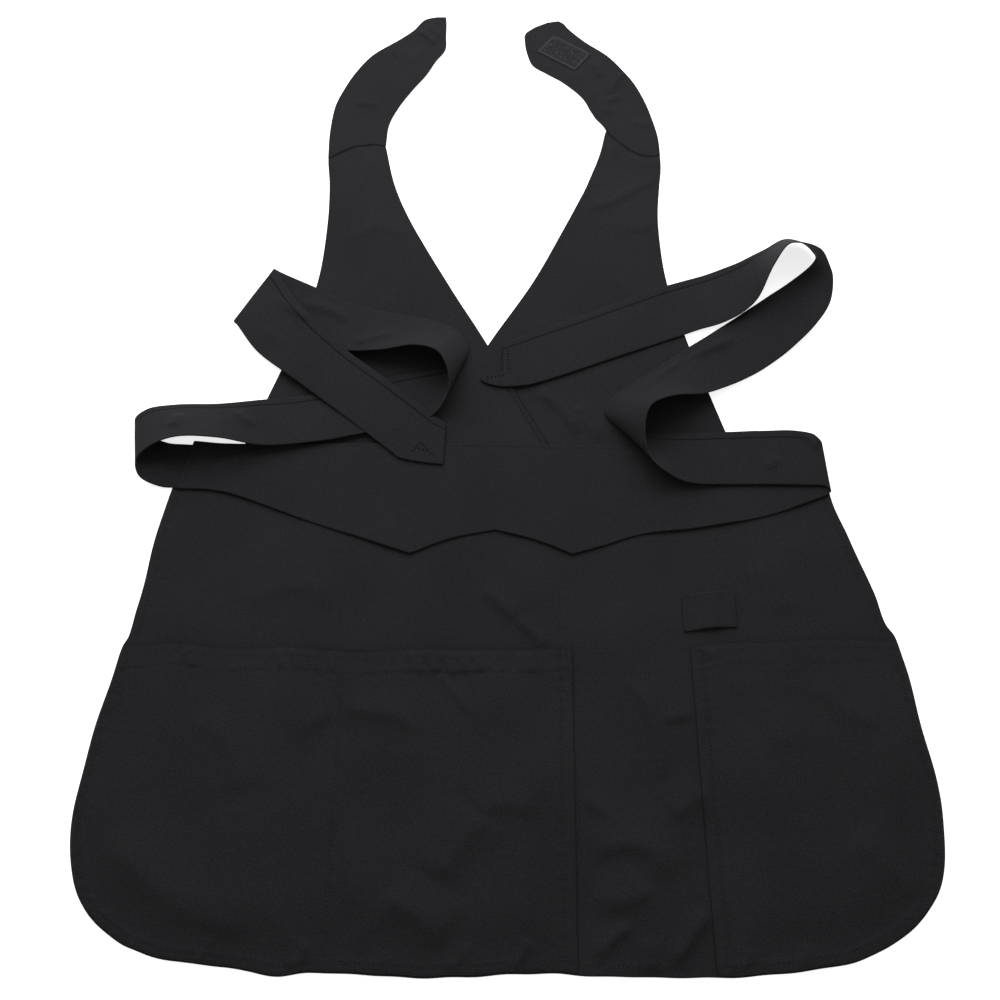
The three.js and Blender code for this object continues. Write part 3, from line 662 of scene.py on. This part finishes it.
def net(outline, seams, step):
    """Fine triangle net over an outline, with rows of points along its edge and its seams."""
    rim = closed(outline)
    rows = [outline]
    for depth in RIM_ROWS:
        row = beside(rim, depth)[:-1]
        rows.append(row[inside(row, outline) & (distance(row, rim) > depth * RIM_TRUE)])
    for seam in seams:
        for offset in SEAM_ROWS:
            row = beside(spaced(seam, step * SEAM_DENSITY), offset)
            rows.append(row[inside(row, outline) & (distance(row, rim) > 1)])
    low, high = outline.min(axis=0), outline.max(axis=0)
    gx, gy = np.meshgrid(np.arange(low[0], high[0], step), np.arange(low[1], high[1], step * TRIANGLE_HEIGHT))
    gx = gx + (np.arange(len(gx)) % 2)[:, None] * step / 2
    field = np.stack([gx.ravel(), gy.ravel()], axis=1)
    field = field[inside(field, outline)]
    field = field[distance(field, rim) > RIM_CLEAR]
    for seam in seams:
        field = field[distance(field, spaced(seam, SEAM_COARSE)) > SEAM_CLEAR]
    points = np.vstack([*rows, field])
    edges = [(k, (k + 1) % len(outline)) for k in range(len(outline))]
    made = delaunay_2d_cdt([Vector(p) for p in points], edges, [], 0, 1e-5, False)
    points, faces = np.array([tuple(p) for p in made[0]]), np.array(made[2])
    return points, faces[inside(points[faces].mean(axis=1), outline)]


def laid_panel(name, cloth, outline, seams, under, hem=0.0, step=3.0, wall=None, pucker=0.25, pull=0.2,
               joins=(), shade=0.8):
    """Panel lying front up: its net put at the height of its under face, with hems, grooves and puckers.

    Seams are stitched lines and joins are edges, and two weights tell how strongly each is marked: on the
    twill a stitched line is darker at its needle holes and with painted shade of its sunken line, and a join
    gets painted shade where panels meet or one edge lies over other cloth; on the tape a stitched line is a
    pale selvedge. Gives the piece and the function for the height of its upper face."""
    wall = wall or cloth.thickness / MM
    rim = closed(outline)[::2]
    rim = np.vstack([rim, outline[:1]])
    lines = [spaced(seam, LINE_STEP) for seam in seams]

    def wall_at(points):
        thick = np.full(len(points), wall)
        if hem:
            thick += cloth.hem_extra / MM * smooth((hem - distance(points, rim)) / HEM_SLOPE + 0.5)
        for line in lines:
            thick -= SEAM_SINK * np.exp(-(distance(points, line) / SEAM_HALF) ** 2)
        return thick

    def under_at(points):
        height = under(points)
        for k, line in enumerate(lines):
            near = np.exp(-(distance(points, line) / PUCKER_REACH) ** 2)
            height = height + pucker * near * (PUCKER_LIFT + ripple(*points.T, PUCKER_WAVE, 40 + k))
        return height

    def top_at(points):
        return under_at(points) + wall_at(points)

    flat, faces = net(outline, seams, step)
    thick = wall_at(flat)
    middle = np.column_stack([flat, under_at(flat) + thick / 2])
    points, quilt, source = shell(middle, upward(len(flat)), faces, thick)
    # Marks for the seam attribute: on the twill, stitched lines darken at the needle holes and with painted
    # shade of their sunken line, and joins darken with painted shade; on the tape the marks are its pale
    # selvedge.
    near = [pull * np.exp(-(distance(flat, line) / SEAM_HALF) ** 2) for line in lines]
    near += [shade * np.exp(-(distance(flat, line) / JOIN_HALF) ** 2) for line in joins]
    seam = np.max([np.zeros(len(flat)), *near], axis=0)
    piece = object_from(f"{name}_cloth", points, quilt, flat[source], twill_material(cloth), seam[source])
    return piece, top_at


def one_stitch():
    """A single stitch of unit size, modelled once: a bead drawn out along Z. Gives points and faces."""
    bpy.ops.object.select_all(action="DESELECT")
    bpy.ops.mesh.primitive_uv_sphere_add(segments=6, ring_count=5, radius=0.5)
    bead = bpy.context.object
    points = np.array([tuple(v.co) for v in bead.data.vertices])
    faces = [list(p.vertices) for p in bead.data.polygons]
    mesh = bead.data
    bpy.data.objects.remove(bead)
    bpy.data.meshes.remove(mesh)
    return points, faces


def stitch_rows(name, cloth, rows, worn=True):
    """Rows of stitches as one piece. Each row is a line of points on the cloth and the normals there."""
    bead, bead_faces = one_stitch()
    width = cloth.thread_width / MM
    length = cloth.stitch_length / MM
    pitch = length + cloth.stitch_gap / MM
    points, faces = [], []
    for line, normals in rows:
        run = lengths(line)
        for start in np.arange(pitch / 2, run[-1] - length, pitch):
            ends = [[np.interp(s, run, line[:, k]) for k in range(3)] for s in (start, start + length)]
            up = np.array([np.interp(start + length / 2, run, normals[:, k]) for k in range(3)])
            first, last = np.array(ends)
            along = (last - first) / np.linalg.norm(last - first)
            side = np.cross(up, along)
            side /= np.linalg.norm(side)
            up = np.cross(along, side)
            sunk = bead[:, 1] * width + STITCH_RISE - STITCH_DIP * width * (2 * bead[:, 2]) ** 2
            faces += [[v + len(points) * len(bead) for v in face] for face in bead_faces]
            points.append((first + last) / 2 + np.outer(bead[:, 2] * length, along)
                          + np.outer(bead[:, 0] * width, side) + np.outer(sunk, up))
    body = np.vstack(points)
    piece = object_from(name, body, faces, body[:, :2], thread_material(cloth, worn))
    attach(piece, "root")
    return piece


def sewn_on(name, cloth, lines, top):
    """Rows of stitches along lines of a laid panel, as one piece."""
    rows = []
    for line in lines:
        line = spaced(line, STITCH_STEP)
        rows.append((np.column_stack([line, top(line)]), upward(len(line))))
    return stitch_rows(name, cloth, rows)


def sewn_panel(name, cloth, outline, seams, under, stitches, rests_on, held="laid", **look):
    """Laid panel with stitches along its seams, put in the place of its CAD solid.

    The arguments rests_on and held are not used."""
    piece, top = laid_panel(name, cloth, outline, seams, under, **look)
    trims = [sewn_on(stitches, cloth, seams, top)] if seams else []
    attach(piece, "root")
    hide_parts(name)


def wavy_edge(points):
    """Slight waves that hemming leaves in the skirt's free edge, and in all that is sewn along it."""
    x, y = points.T
    low = smooth((HEM_WAVE_Y - y) / HEM_WAVE_RAMP)
    high = (1 - low) * smooth((np.abs(x) - SIDE_WAVE_X) / SIDE_WAVE_RAMP)
    moved = points.copy()
    for axis, share, line, (depth, length, seed) in ((1, low, x, HEM_WAVE), (0, high, y, SIDE_WAVE)):
        moved[:, axis] += share * depth * ripple(line, 0 * line, length, seed)
    return moved


def skirt_edge(rows):
    return wavy_edge(curve(rows))


def drawn_in(line, inset):
    """Part of the skirt's outline drawn in toward the middle of the skirt."""
    middle = np.array((0, SKIRT_MIDDLE_Y))
    reach = np.linalg.norm(line - middle, axis=1)
    return middle + (line - middle) * ((reach - inset) / reach)[:, None]


def skirt_height(points):
    """Under face of the skirt, and with it of all that is sewn on it: folds and the way the cloth lies."""
    lay = loose_lie(points, *SKIRT_LIE) * smooth((SKIRT_LIE_Y - points[:, 1]) / SKIRT_LIE_RAMP)
    return fold_height(SKIRT_FOLDS, points) + lay


def hidden_edge(y):
    """Inner edge of the right bib panel at a height."""
    rows = np.array(BIB_RIGHT)[::-1]
    return np.interp(y, rows[:, 0], rows[:, 2])


def seam_rise(seam, t):
    outer, inner, bow = seam
    return outer + (inner - outer) * t + bow * 4 * t * (1 - t)


def follow_seam(line, seam, t, clearance):
    """Moves an edge next to a strap seam as the seam moves it."""
    moved = line.copy()
    near = 1 - smooth(np.abs(line[:, 1] - SEAM_Y) / SEAM_REACH)
    moved[:, 1] += near * (seam_rise(seam, t) + clearance)
    return moved


def seam_line(table, seam, clearance):
    """The strap seam itself, from the outer edge to the inner one."""
    outer, inner = table[0]
    t = np.linspace(0, 1, 25)
    return np.column_stack([outer + (inner - outer) * t, SEAM_Y + seam_rise(seam, t) + clearance])


def seam_tuck(points, line):
    """Small tucks that a strap seam draws into the cloth on either side of it."""
    x, y = points.T
    tucks = np.maximum(0.5 + 0.8 * ripple(x, y * 0.4, TUCK_WAVE, 12), 0)
    return np.exp(-(distance(points, line) / TUCK_REACH) ** 2) * tucks


def seamed_sides(rows, seam, clearance, steps, step):
    """Outer edge, inner edge and strap seam of a panel whose rows are outer x, y, inner x, y."""
    sides = [follow_seam(curve(rows[:, k:k + 2], steps, step), seam, k / 2, clearance) for k in (0, 2)]
    return *sides, spaced(seam_line(rows[:, (0, 2)], seam, clearance), step)


class ApronCloth(bpy.types.PropertyGroup):
    thickness: bpy.props.FloatProperty(
        name="Cloth", description="Thickness of one layer of cloth", default=0.0009, min=0.0004,
        max=0.003, unit="LENGTH", precision=5)
    hem_width: bpy.props.FloatProperty(
        name="Hem", description="Width of the narrow hem round the skirt", default=0.008, min=0.003,
        max=0.03, unit="LENGTH", precision=4)
    hem_extra: bpy.props.FloatProperty(
        name="Hem extra", description="How much thicker the cloth is at a hem", default=0.0003, min=0,
        max=0.002, unit="LENGTH", precision=5)
    pocket_rise: bpy.props.FloatProperty(
        name="Pocket rise", description="How far an empty pocket stands off the skirt", default=0.0042,
        min=0.001, max=0.03, unit="LENGTH", precision=4)
    loop_rise: bpy.props.FloatProperty(
        name="Loop rise", description="How far the tool loop stands off the skirt", default=0.002,
        min=0.001, max=0.02, unit="LENGTH", precision=4)
    stitch_length: bpy.props.FloatProperty(
        name="Stitch", description="Length of one stitch", default=0.0026, min=0.001, max=0.008,
        unit="LENGTH", precision=4)
    stitch_gap: bpy.props.FloatProperty(
        name="Stitch gap", description="Space from one stitch to the next", default=0.0009, min=0.0002,
        max=0.005, unit="LENGTH", precision=4)
    thread_width: bpy.props.FloatProperty(
        name="Thread", description="Thickness of the sewing thread", default=0.0006, min=0.0002,
        max=0.002, unit="LENGTH", precision=5)
    dark: bpy.props.FloatVectorProperty(
        name="Dark tone", description="Cloth where the dye is deepest", default=linear("#1a1a1c"), min=0,
        max=1, subtype="COLOR")
    light: bpy.props.FloatVectorProperty(
        name="Light tone", description="Cloth where it is paler", default=linear("#2e2e30"), min=0, max=1,
        subtype="COLOR")
    # Near-black painted shade for sunken stitched lines and for the gaps at edges over other cloth; also the
    # deep end of the tie thread's colour.
    groove_shade: bpy.props.FloatVectorProperty(
        name="Painted seam shade", description="Painted shade of cloth along a stitched line and at edges over other cloth", default=linear("#08080a"),
        min=0, max=1, subtype="COLOR")
    thread: bpy.props.FloatVectorProperty(
        name="Thread tone", description="Sewing thread where it is worn", default=linear("#363639"),
        min=0, max=1, subtype="COLOR")
    pile: bpy.props.FloatVectorProperty(
        name="Tape tone", description="Hook-and-loop tape where it catches light",
        default=linear("#46464c"), min=0, max=1, subtype="COLOR")


class ApronStage(bpy.types.PropertyGroup):
    floor: bpy.props.FloatVectorProperty(
        name="Floor", description="Colour of the floor", default=linear("#f4f4f4"), min=0, max=1,
        subtype="COLOR")
    key_power: bpy.props.FloatProperty(
        name="Key light", description="Power of the large light beyond the neck", default=14, min=0,
        max=2000, unit="POWER")
    tint: bpy.props.FloatVectorProperty(
        name="Light tint", description="Colour of the large light", default=(1.0, 0.988, 1.005), min=0,
        max=2, subtype="COLOR")
    glow: bpy.props.FloatProperty(
        name="Floor glow", description="Strength of the light from within the table", default=0.75, min=0,
        max=5)
    sky: bpy.props.FloatProperty(
        name="Room light", description="Strength of the even light all round", default=0.4, min=0, max=5)
    lens: bpy.props.FloatProperty(
        name="Lens", description="Focal length on a 36 mm frame", default=49.86, min=10, max=300,
        unit="CAMERA")
    elevation: bpy.props.FloatProperty(
        name="Camera tilt", description="How far above the table the camera looks from",
        default=math.radians(60), min=0, max=math.pi / 2, subtype="ANGLE")
    eye: bpy.props.FloatVectorProperty(
        name="Camera", description="Where the camera stands", default=(-0.006, -0.700, 1.037),
        subtype="XYZ", unit="LENGTH")


class APRON_OT_skirt(bpy.types.Operator):
    """Lays the skirt: one panel with rounded hem corners and a narrow stitched hem"""
    bl_idname = "apron.skirt"
    bl_label = "Skirt"

    def execute(self, context):
        cloth = context.scene.apron_cloth
        left, right, hem = skirt_edge(SIDE_LEFT), skirt_edge(SIDE_RIGHT), skirt_edge(HEM)
        outline = ring(left, hem, right[::-1], spaced([right[0], left[0]]))
        free = [left[left[:, 1] > DOUBLE_SIDE_Y + 5], right[right[:, 1] > SINGLE_SIDE_Y + 5],
                hem[(hem[:, 0] > DOUBLE_EDGE_X + 3) & (hem[:, 0] < SINGLE_EDGE_X - 3)]]
        width = cloth.hem_width / MM
        seams = [drawn_in(line, width - SKIRT_STITCH) for line in free]
        sewn_panel("skirt", cloth, outline, seams, skirt_height, "skirt_stitches", [], hem=width, step=3.4)
        return {"FINISHED"}


class APRON_OT_bib(bpy.types.Operator):
    """Lays the two bib panels, the left one over the right one below the V neck"""
    bl_idname = "apron.bib"
    bl_label = "Bib panels"

    def execute(self, context):
        cloth = context.scene.apron_cloth
        for name, table, seam in (("bib_left", BIB_LEFT, SEAM_LEFT), ("bib_right", BIB_RIGHT, SEAM_RIGHT)):
            rows = np.array(table, float)[:, (1, 0, 2, 0)]
            outer, inner, head = seamed_sides(rows, seam, -SEAM_GAP / 2, 24, EDGE_STEP)
            outline = counter_clockwise(ring(outer[::-1], head, inner, spaced([inner[-1], outer[-1]])))
            left = name == "bib_left"

            def under(points, left=left, head=head):
                x, y = points.T
                lay = loose_lie(points, *BIB_LIE) * smooth((y - BIB_LIE_Y) / BIB_LIE_RAMP)
                calm = smooth(distance(points, head) / SEAM_CALM)
                height = (fold_height(BIB_FOLDS, points) + lay) * calm + seam_tuck(points, head)
                if left:
                    height = height + LAYER * smooth((x - hidden_edge(y) + CROSS_START) / CROSS_RAMP)
                return height

            cross = inner[inner[:, 1] < CROSS_TOP]
            seams = [beside(cross, -CROSS_STITCH)[3:-3]] if left else []
            # The strap seam, and on the left panel its crossing edge, are darkened with painted shade of the
            # gap there.
            sewn_panel(name, cloth, outline, seams, under, "bib_stitches", ["bib_right"] if left else [],
                       pull=0.5, pucker=0.1, joins=[head, cross] if left else [head], shade=0.55)
        return {"FINISHED"}


class APRON_OT_yoke(bpy.types.Operator):
    """Lays the scalloped waist yoke, stitched along its top with its lower edge free"""
    bl_idname = "apron.yoke"
    bl_label = "Waist yoke"

    def execute(self, context):
        cloth = context.scene.apron_cloth
        rows = np.array(YOKE, float)
        upper = curve(rows[:, :2], 8)
        spans = [curve(rows[a:b + 1, 2:], 12) for a, b in zip(YOKE_CORNERS, YOKE_CORNERS[1:])]
        lower = np.vstack([*(span[:-1] for span in spans), rows[-1:, 2:]])
        ends = [spaced([upper[0], lower[0]]), spaced([lower[-1], upper[-1]])]
        outline = ring(ends[0], lower, ends[1], upper[::-1])

        def under(points):
            x, y = points.T
            top = np.interp(x, upper[:, 0], upper[:, 1])
            low = np.interp(x, lower[:, 0], lower[:, 1])
            free = np.clip((top - y) / (top - low), 0, 1)
            wave = YOKE_RIPPLE * np.sin(2 * math.pi * x / YOKE_WAVE)
            wave = wave + 0.5 * ripple(x, y * 0.3, YOKE_FLUTTER, 21)
            lie = YOKE_FOOT + (YOKE_BASE - YOKE_FOOT) * (1 - free) ** 1.5 + YOKE_LIFT * free ** 2 * (1 + wave)
            lie = np.maximum(lie, YOKE_BASE * smooth((np.abs(x) - YOKE_END_X) / YOKE_END_RAMP))
            return lie + skirt_height(points) + fold_height(YOKE_FOLDS, points)

        seams = [beside(upper, -YOKE_STITCH), *(beside(end, YOKE_END_STITCH) for end in ends)]
        seams = [seam[2:-2] for seam in seams]
        sewn_panel("waist_yoke", cloth, outline, seams, under, "yoke_stitches", ["bib_left"], pucker=0.12)
        return {"FINISHED"}


class APRON_OT_pockets(bpy.types.Operator):
    """Lays the double pocket, parted by a stitched line, and the single pocket"""
    bl_idname = "apron.pockets"
    bl_label = "Pockets"

    def execute(self, context):
        cloth = context.scene.apron_cloth
        hem = skirt_edge(HEM)
        width = cloth.hem_width / MM
        for name, table, side_y, mouth, folds, puckers in (
                ("pocket_double", SIDE_LEFT, DOUBLE_SIDE_Y, DOUBLE_MOUTH, DOUBLE_FOLDS, DOUBLE_PUCKERS),
                ("pocket_single", SIDE_RIGHT, SINGLE_SIDE_Y, SINGLE_MOUTH, SINGLE_FOLDS, SINGLE_PUCKERS)):
            double = name == "pocket_double"
            side = skirt_edge(table)
            side = drawn_in(side[side[:, 1] <= side_y], POCKET_INSET)
            foot = hem[hem[:, 0] <= DOUBLE_EDGE_X] if double else hem[hem[:, 0] >= SINGLE_EDGE_X][::-1]
            foot = drawn_in(foot, POCKET_INSET)
            edge = spaced([foot[-1], mouth[0]])
            mouth = curve([*mouth, side[0]], 8)
            top = mouth[0, 1]
            divider, tacks = [], []
            if double:
                part = foot[np.argmin(np.abs(foot[:, 0] - DIVIDER_X))]
                divider = [spaced([(DIVIDER_X, top - MOUTH_BAND), part + (0, 6)])]
                tacks = [spaced([(x, top - 2), (x, top - MOUTH_BAND)]) for x in TACK_X]
            outline = counter_clockwise(ring(side, foot, edge, mouth))
            sewn = [spaced(line, SEAM_COARSE) for line in (side, foot, edge, *divider)]

            def under(points, sewn=sewn, folds=folds, puckers=puckers):
                nearest = np.min([distance(points, line) for line in sewn], axis=0)
                height, wave, seed = POCKET_LIE
                rise = cloth.pocket_rise / MM + height * ripple(*points.T, wave, seed)
                stand = smooth((nearest - POCKET_FLAT) / POCKET_ROLL) * rise
                crumple = smooth(nearest / FOLD_FADE) * fold_height(folds, points)
                crumple = crumple + fold_height(puckers, points)
                return skirt_height(points) + LAYER + ROOM + stand + crumple

            band = mouth + np.array((0, -MOUTH_BAND))
            rows = [drawn_in(side, width - POCKET_STITCH)[3:], drawn_in(foot, width - POCKET_STITCH),
                    beside(edge, EDGE_STITCH if double else -EDGE_STITCH), band, *divider, *tacks]
            rows = [row[inside(row, outline)] for row in rows]
            # The pocket mouth is darkened with painted shadow of the gap beneath its edge.
            sewn_panel(name, cloth, outline, rows, under, f"{name}_stitches", ["skirt"], hem=width, step=2.6,
                       pucker=0.3, joins=[mouth], shade=0.5)
        return {"FINISHED"}


class APRON_OT_tool_loop(bpy.types.Operator):
    """Lays the small tool loop, stitched down at its two sides"""
    bl_idname = "apron.tool_loop"
    bl_label = "Tool loop"

    def execute(self, context):
        cloth = context.scene.apron_cloth
        half = LOOP_WIDTH / 2
        corners = np.array([
            (LOOP_X - half, LOOP_TOP - LOOP_SKEW), (LOOP_X - half, LOOP_BOTTOM - LOOP_SKEW),
            (LOOP_X + half, LOOP_BOTTOM), (LOOP_X + half, LOOP_TOP)], float)
        edges = [spaced([a, b], LOOP_STEP) for a, b in zip(corners, np.roll(corners, -1, axis=0))]
        outline = ring(*edges)

        def under(points):
            x = points[:, 0]
            rise = cloth.loop_rise / MM * smooth((half - LOOP_SEAM - np.abs(x - LOOP_X)) / LOOP_ROLL)
            return skirt_height(points) + LAYER + ROOM + rise

        seams = [edges[0] + (LOOP_STITCH, 0), edges[2] - (LOOP_STITCH, 0), edges[3] - (0, 3)]
        seams = [row[inside(row, outline)] for row in seams]
        sewn_panel("tool_loop", cloth, outline, seams, under, "loop_stitches", ["skirt"], "stretched", hem=6,
                   step=2, pucker=0.1)
        return {"FINISHED"}


def patch_outline(patch, inset):
    """Closed line round a hook-and-loop patch, inside its edge."""
    x, y, turn = patch
    a, b = (half - inset for half in PATCH_HALF)
    corners = np.array([(-a, -b), (a, -b), (a, b), (-a, b), (-a, -b)], float)
    c, s = math.cos(math.radians(turn)), math.sin(math.radians(turn))
    return spaced(corners @ np.array([(c, s), (-s, c)]) + (x, y), 1.5)


class APRON_OT_straps(bpy.types.Operator):
    """Lays the two neck straps from their seams with the bib to their pointed ends"""
    bl_idname = "apron.straps"
    bl_label = "Neck straps"

    def execute(self, context):
        cloth = context.scene.apron_cloth
        for name, table, seam, lift, patch in (
                ("neck_strap_left", STRAP_LEFT, SEAM_LEFT, LAYER, HOOK_PATCH),
                ("neck_strap_right", STRAP_RIGHT, SEAM_RIGHT, 0, None)):
            outer, inner, foot = seamed_sides(np.array(table, float), seam, SEAM_GAP, 16, STRAP_STEP)
            tip = spaced([outer[-1], inner[-1]], STRAP_STEP)
            outline = counter_clockwise(ring(outer, tip, inner[::-1], foot[::-1]))

            def under(points, lift=lift, foot=foot):
                x, y = points.T
                height = lift * smooth((y - LIFT_Y) / LIFT_RAMP)
                lay = loose_lie(points, *STRAP_LIE) + fold_height(STRAP_FOLDS, points)
                from_patch = np.hypot(x - LOOP_PATCH[0], y - LOOP_PATCH[1])
                lay = lay * smooth((from_patch - PATCH_FLAT) / PATCH_RAMP)
                return height + lay * smooth(distance(points, foot) / SEAM_CALM) + seam_tuck(points, foot)

            seams = [patch_outline(patch, 3)] if patch else []
            # The seam with the bib is darkened with painted shade of the gap there.
            sewn_panel(name, cloth, outline, seams, under, "strap_stitches", [], step=2.6, wall=STRAP_WALL,
                       pucker=0.15, joins=[foot], shade=0.55)
        return {"FINISHED"}


class APRON_OT_patches(bpy.types.Operator):
    """Lays the hook-and-loop patches, one on the right strap and one under the left"""
    bl_idname = "apron.patches"
    bl_label = "Hook-and-loop patches"

    def execute(self, context):
        cloth = context.scene.apron_cloth
        for name, patch, under in (("loop_patch", LOOP_PATCH, STRAP_WALL), ("hook_patch", HOOK_PATCH, 0.0)):
            outline = counter_clockwise(patch_outline(patch, 0)[:-1])
            border = patch_outline(patch, PATCH_BORDER)

            def base(points, under=under, seed=len(name)):
                return under + PATCH_ROOM + PATCH_RIPPLE * ripple(*points.T, PATCH_WAVE, seed)

            piece, top = laid_panel(name, cloth, outline, [border], base, step=1.4, wall=0.7, pucker=0.05,
                                    pull=0.8)
            piece.data.materials.clear()
            piece.data.materials.append(pile_material(cloth))
            stitches = sewn_on(f"{name}_stitches", cloth, [border], top)
            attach(piece, "root")
            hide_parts(name)
        return {"FINISHED"}


class APRON_OT_ties(bpy.types.Operator):
    """Lays the two waist ties, each folded back on itself three times"""
    bl_idname = "apron.ties"
    bl_label = "Waist ties"

    def execute(self, context):
        cloth = context.scene.apron_cloth
        for name, table, creases, face, seed, tacks in (
                ("waist_tie_left", TIE_LEFT, CREASES_LEFT, 1, 61, TACKS_LEFT),
                ("waist_tie_right", TIE_RIGHT, CREASES_RIGHT, -1, 62, TACKS_RIGHT)):
            rows = np.array(table, float)
            bearing, lift, width = np.radians(rows[:, 3]), np.radians(rows[:, 4]), rows[:, 5]
            level = np.cos(lift)
            across = np.column_stack([np.cos(bearing) * level, np.sin(bearing) * level, np.sin(lift)])
            stitched = spline(rows[:, :3], TIE_STEPS)
            free = spline(rows[:, :3] + across * width[:, None], TIE_STEPS)
            part = np.array(TIE_ACROSS) / TIE_WIDTH
            grid = stitched[:, None] + (free - stitched)[:, None] * part[None, :, None]
            normal = np.cross(np.gradient(grid, axis=1), np.gradient(grid, axis=0))
            normal /= np.linalg.norm(normal, axis=2)[:, :, None]
            along = lengths(grid[:, len(part) // 2])
            s, t = np.meshgrid(np.array(TIE_ACROSS), along)
            grid = grid + normal * (TIE_RIPPLE * ripple(s * 0.6, t, TIE_WAVE, seed))[:, :, None]
            for first, last, *crease in creases:
                reach = grid[first * TIE_STEPS:last * TIE_STEPS]
                raised = fold_height([crease], reach[:, :, :2].reshape(-1, 2))
                reach[:, :, 2] += raised.reshape(reach.shape[:2])
            if name == "waist_tie_right":
                back = np.interp(s, *np.array(NOTCH).T) * smooth(1 - (along[-1] - t) / NOTCH_REACH)
                run = np.gradient(grid, axis=0)
                grid = grid - run / np.linalg.norm(run, axis=2)[:, :, None] * back[:, :, None]
            hemmed = TIE_HEM * smooth((TIE_SEAM - s) / 2 + 0.5)
            wall = TIE_WALL + hemmed - TIE_SINK * np.exp(-((s - TIE_SEAM) / 0.7) ** 2)
            # Along the stitched line the tie is darker at the needle holes and with painted shade of the
            # sunken line, on the face that shows the stitches.
            near = TIE_SHADE * np.exp(-((s.ravel() - TIE_SEAM) / 0.65) ** 2)
            count = len(part)
            j, i = np.meshgrid(np.arange(len(grid) - 1), np.arange(count - 1), indexing="ij")
            corner = (j * count + i).ravel()
            faces = np.stack([corner, corner + 1, corner + count + 1, corner + count], axis=1)
            points, quilt, source = shell(grid.reshape(-1, 3), normal.reshape(-1, 3), faces, wall.ravel())
            uv = np.stack([s.ravel(), t.ravel()], axis=1)[source]
            order = np.arange(len(points))
            faced = order < len(near) if face > 0 else (order >= len(near)) & (order < 2 * len(near))
            shade = near[source] * faced
            piece = object_from(f"{name}_cloth", points, quilt, uv, twill_material(cloth), shade)
            seam = list(TIE_ACROSS).index(TIE_SEAM)
            up = normal[:, seam] * face
            lines = [(grid[:, seam] + up * 0.05, up)]
            tail = grid[-7 * TIE_STEPS:].reshape(-1, 3)
            for tack, shift in ((tack, shift) for tack in tacks for shift in TACK_ROWS):
                row = beside(spaced(tack, STITCH_STEP), shift)
                height = [tail[np.argmin(np.hypot(*(tail[:, :2] - p).T)), 2] for p in row]
                lines.append((np.column_stack([row, np.array(height) + TACK_RISE]), upward(len(row))))
            stitches = stitch_rows(f"{name}_stitches", cloth, lines, worn=False)
            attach(piece, "root")
            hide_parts(name)
        return {"FINISHED"}


class APRON_OT_stage(bpy.types.Operator):
    """Sets the white floor, the soft light and the camera"""
    bl_idname = "apron.stage"
    bl_label = "Stage"

    def execute(self, context):
        stage = context.scene.apron_stage
        bpy.ops.object.select_all(action="DESELECT")
        bpy.ops.mesh.primitive_plane_add(size=FLOOR_SIZE, location=(0, 0, 0))
        floor = context.object
        floor.name = "floor"
        floor.data.materials.append(floor_material(stage))
        place = Vector(KEY_PLACE)
        toward_middle = (-place).to_track_quat("-Z", "Y").to_euler()
        bpy.ops.object.light_add(type="AREA", location=place, rotation=toward_middle)
        light = context.object
        light.name = "key_light"
        light.data.shape = "RECTANGLE"
        light.data.size, light.data.size_y = KEY_SIZE
        light.data.energy = stage.key_power
        light.data.color = stage.tint
        world = bpy.data.worlds.new("Soft white room")
        world.use_nodes = True
        backdrop = world.node_tree.nodes["Background"]
        backdrop.inputs["Color"].default_value = (*linear("#ffffff"), 1)
        backdrop.inputs["Strength"].default_value = stage.sky
        context.scene.world = world
        bpy.ops.object.camera_add(location=stage.eye, rotation=(math.pi / 2 - stage.elevation, 0, 0))
        camera = context.object
        camera.data.lens = stage.lens
        camera.data.sensor_width = SENSOR
        context.scene.camera = camera
        context.scene.view_settings.view_transform = "Standard"
        return {"FINISHED"}


class APRON_PT_panel(bpy.types.Panel):
    """Lists the apron's pieces in the order they are laid"""
    bl_idname = "APRON_PT_panel"
    bl_label = "Barber apron"
    bl_space_type = "VIEW_3D"
    bl_region_type = "UI"
    bl_category = "Apron"

    def draw(self, context):
        for group in (context.scene.apron_cloth, context.scene.apron_stage):
            for key in group.bl_rna.properties.keys():
                if key not in ("rna_type", "name"):
                    self.layout.prop(group, key)
        for operator in OPERATORS:
            self.layout.operator(operator.bl_idname)


OPERATORS = (APRON_OT_stage, APRON_OT_skirt, APRON_OT_bib, APRON_OT_yoke, APRON_OT_pockets,
             APRON_OT_tool_loop, APRON_OT_straps, APRON_OT_patches, APRON_OT_ties)
CLASSES = (ApronCloth, ApronStage, *OPERATORS, APRON_PT_panel)


def register():
    for item in CLASSES:
        bpy.utils.register_class(item)
    bpy.types.Scene.apron_cloth = bpy.props.PointerProperty(type=ApronCloth)
    bpy.types.Scene.apron_stage = bpy.props.PointerProperty(type=ApronStage)


def unregister():
    del bpy.types.Scene.apron_stage
    del bpy.types.Scene.apron_cloth
    for item in reversed(CLASSES):
        bpy.utils.unregister_class(item)


def main():
    register()
    bpy.ops.apron.stage()
    bpy.ops.apron.skirt()
    bpy.ops.apron.bib()
    bpy.ops.apron.yoke()
    bpy.ops.apron.pockets()
    bpy.ops.apron.tool_loop()
    bpy.ops.apron.straps()
    bpy.ops.apron.patches()
    bpy.ops.apron.ties()


if __name__ == "__main__":
    main()
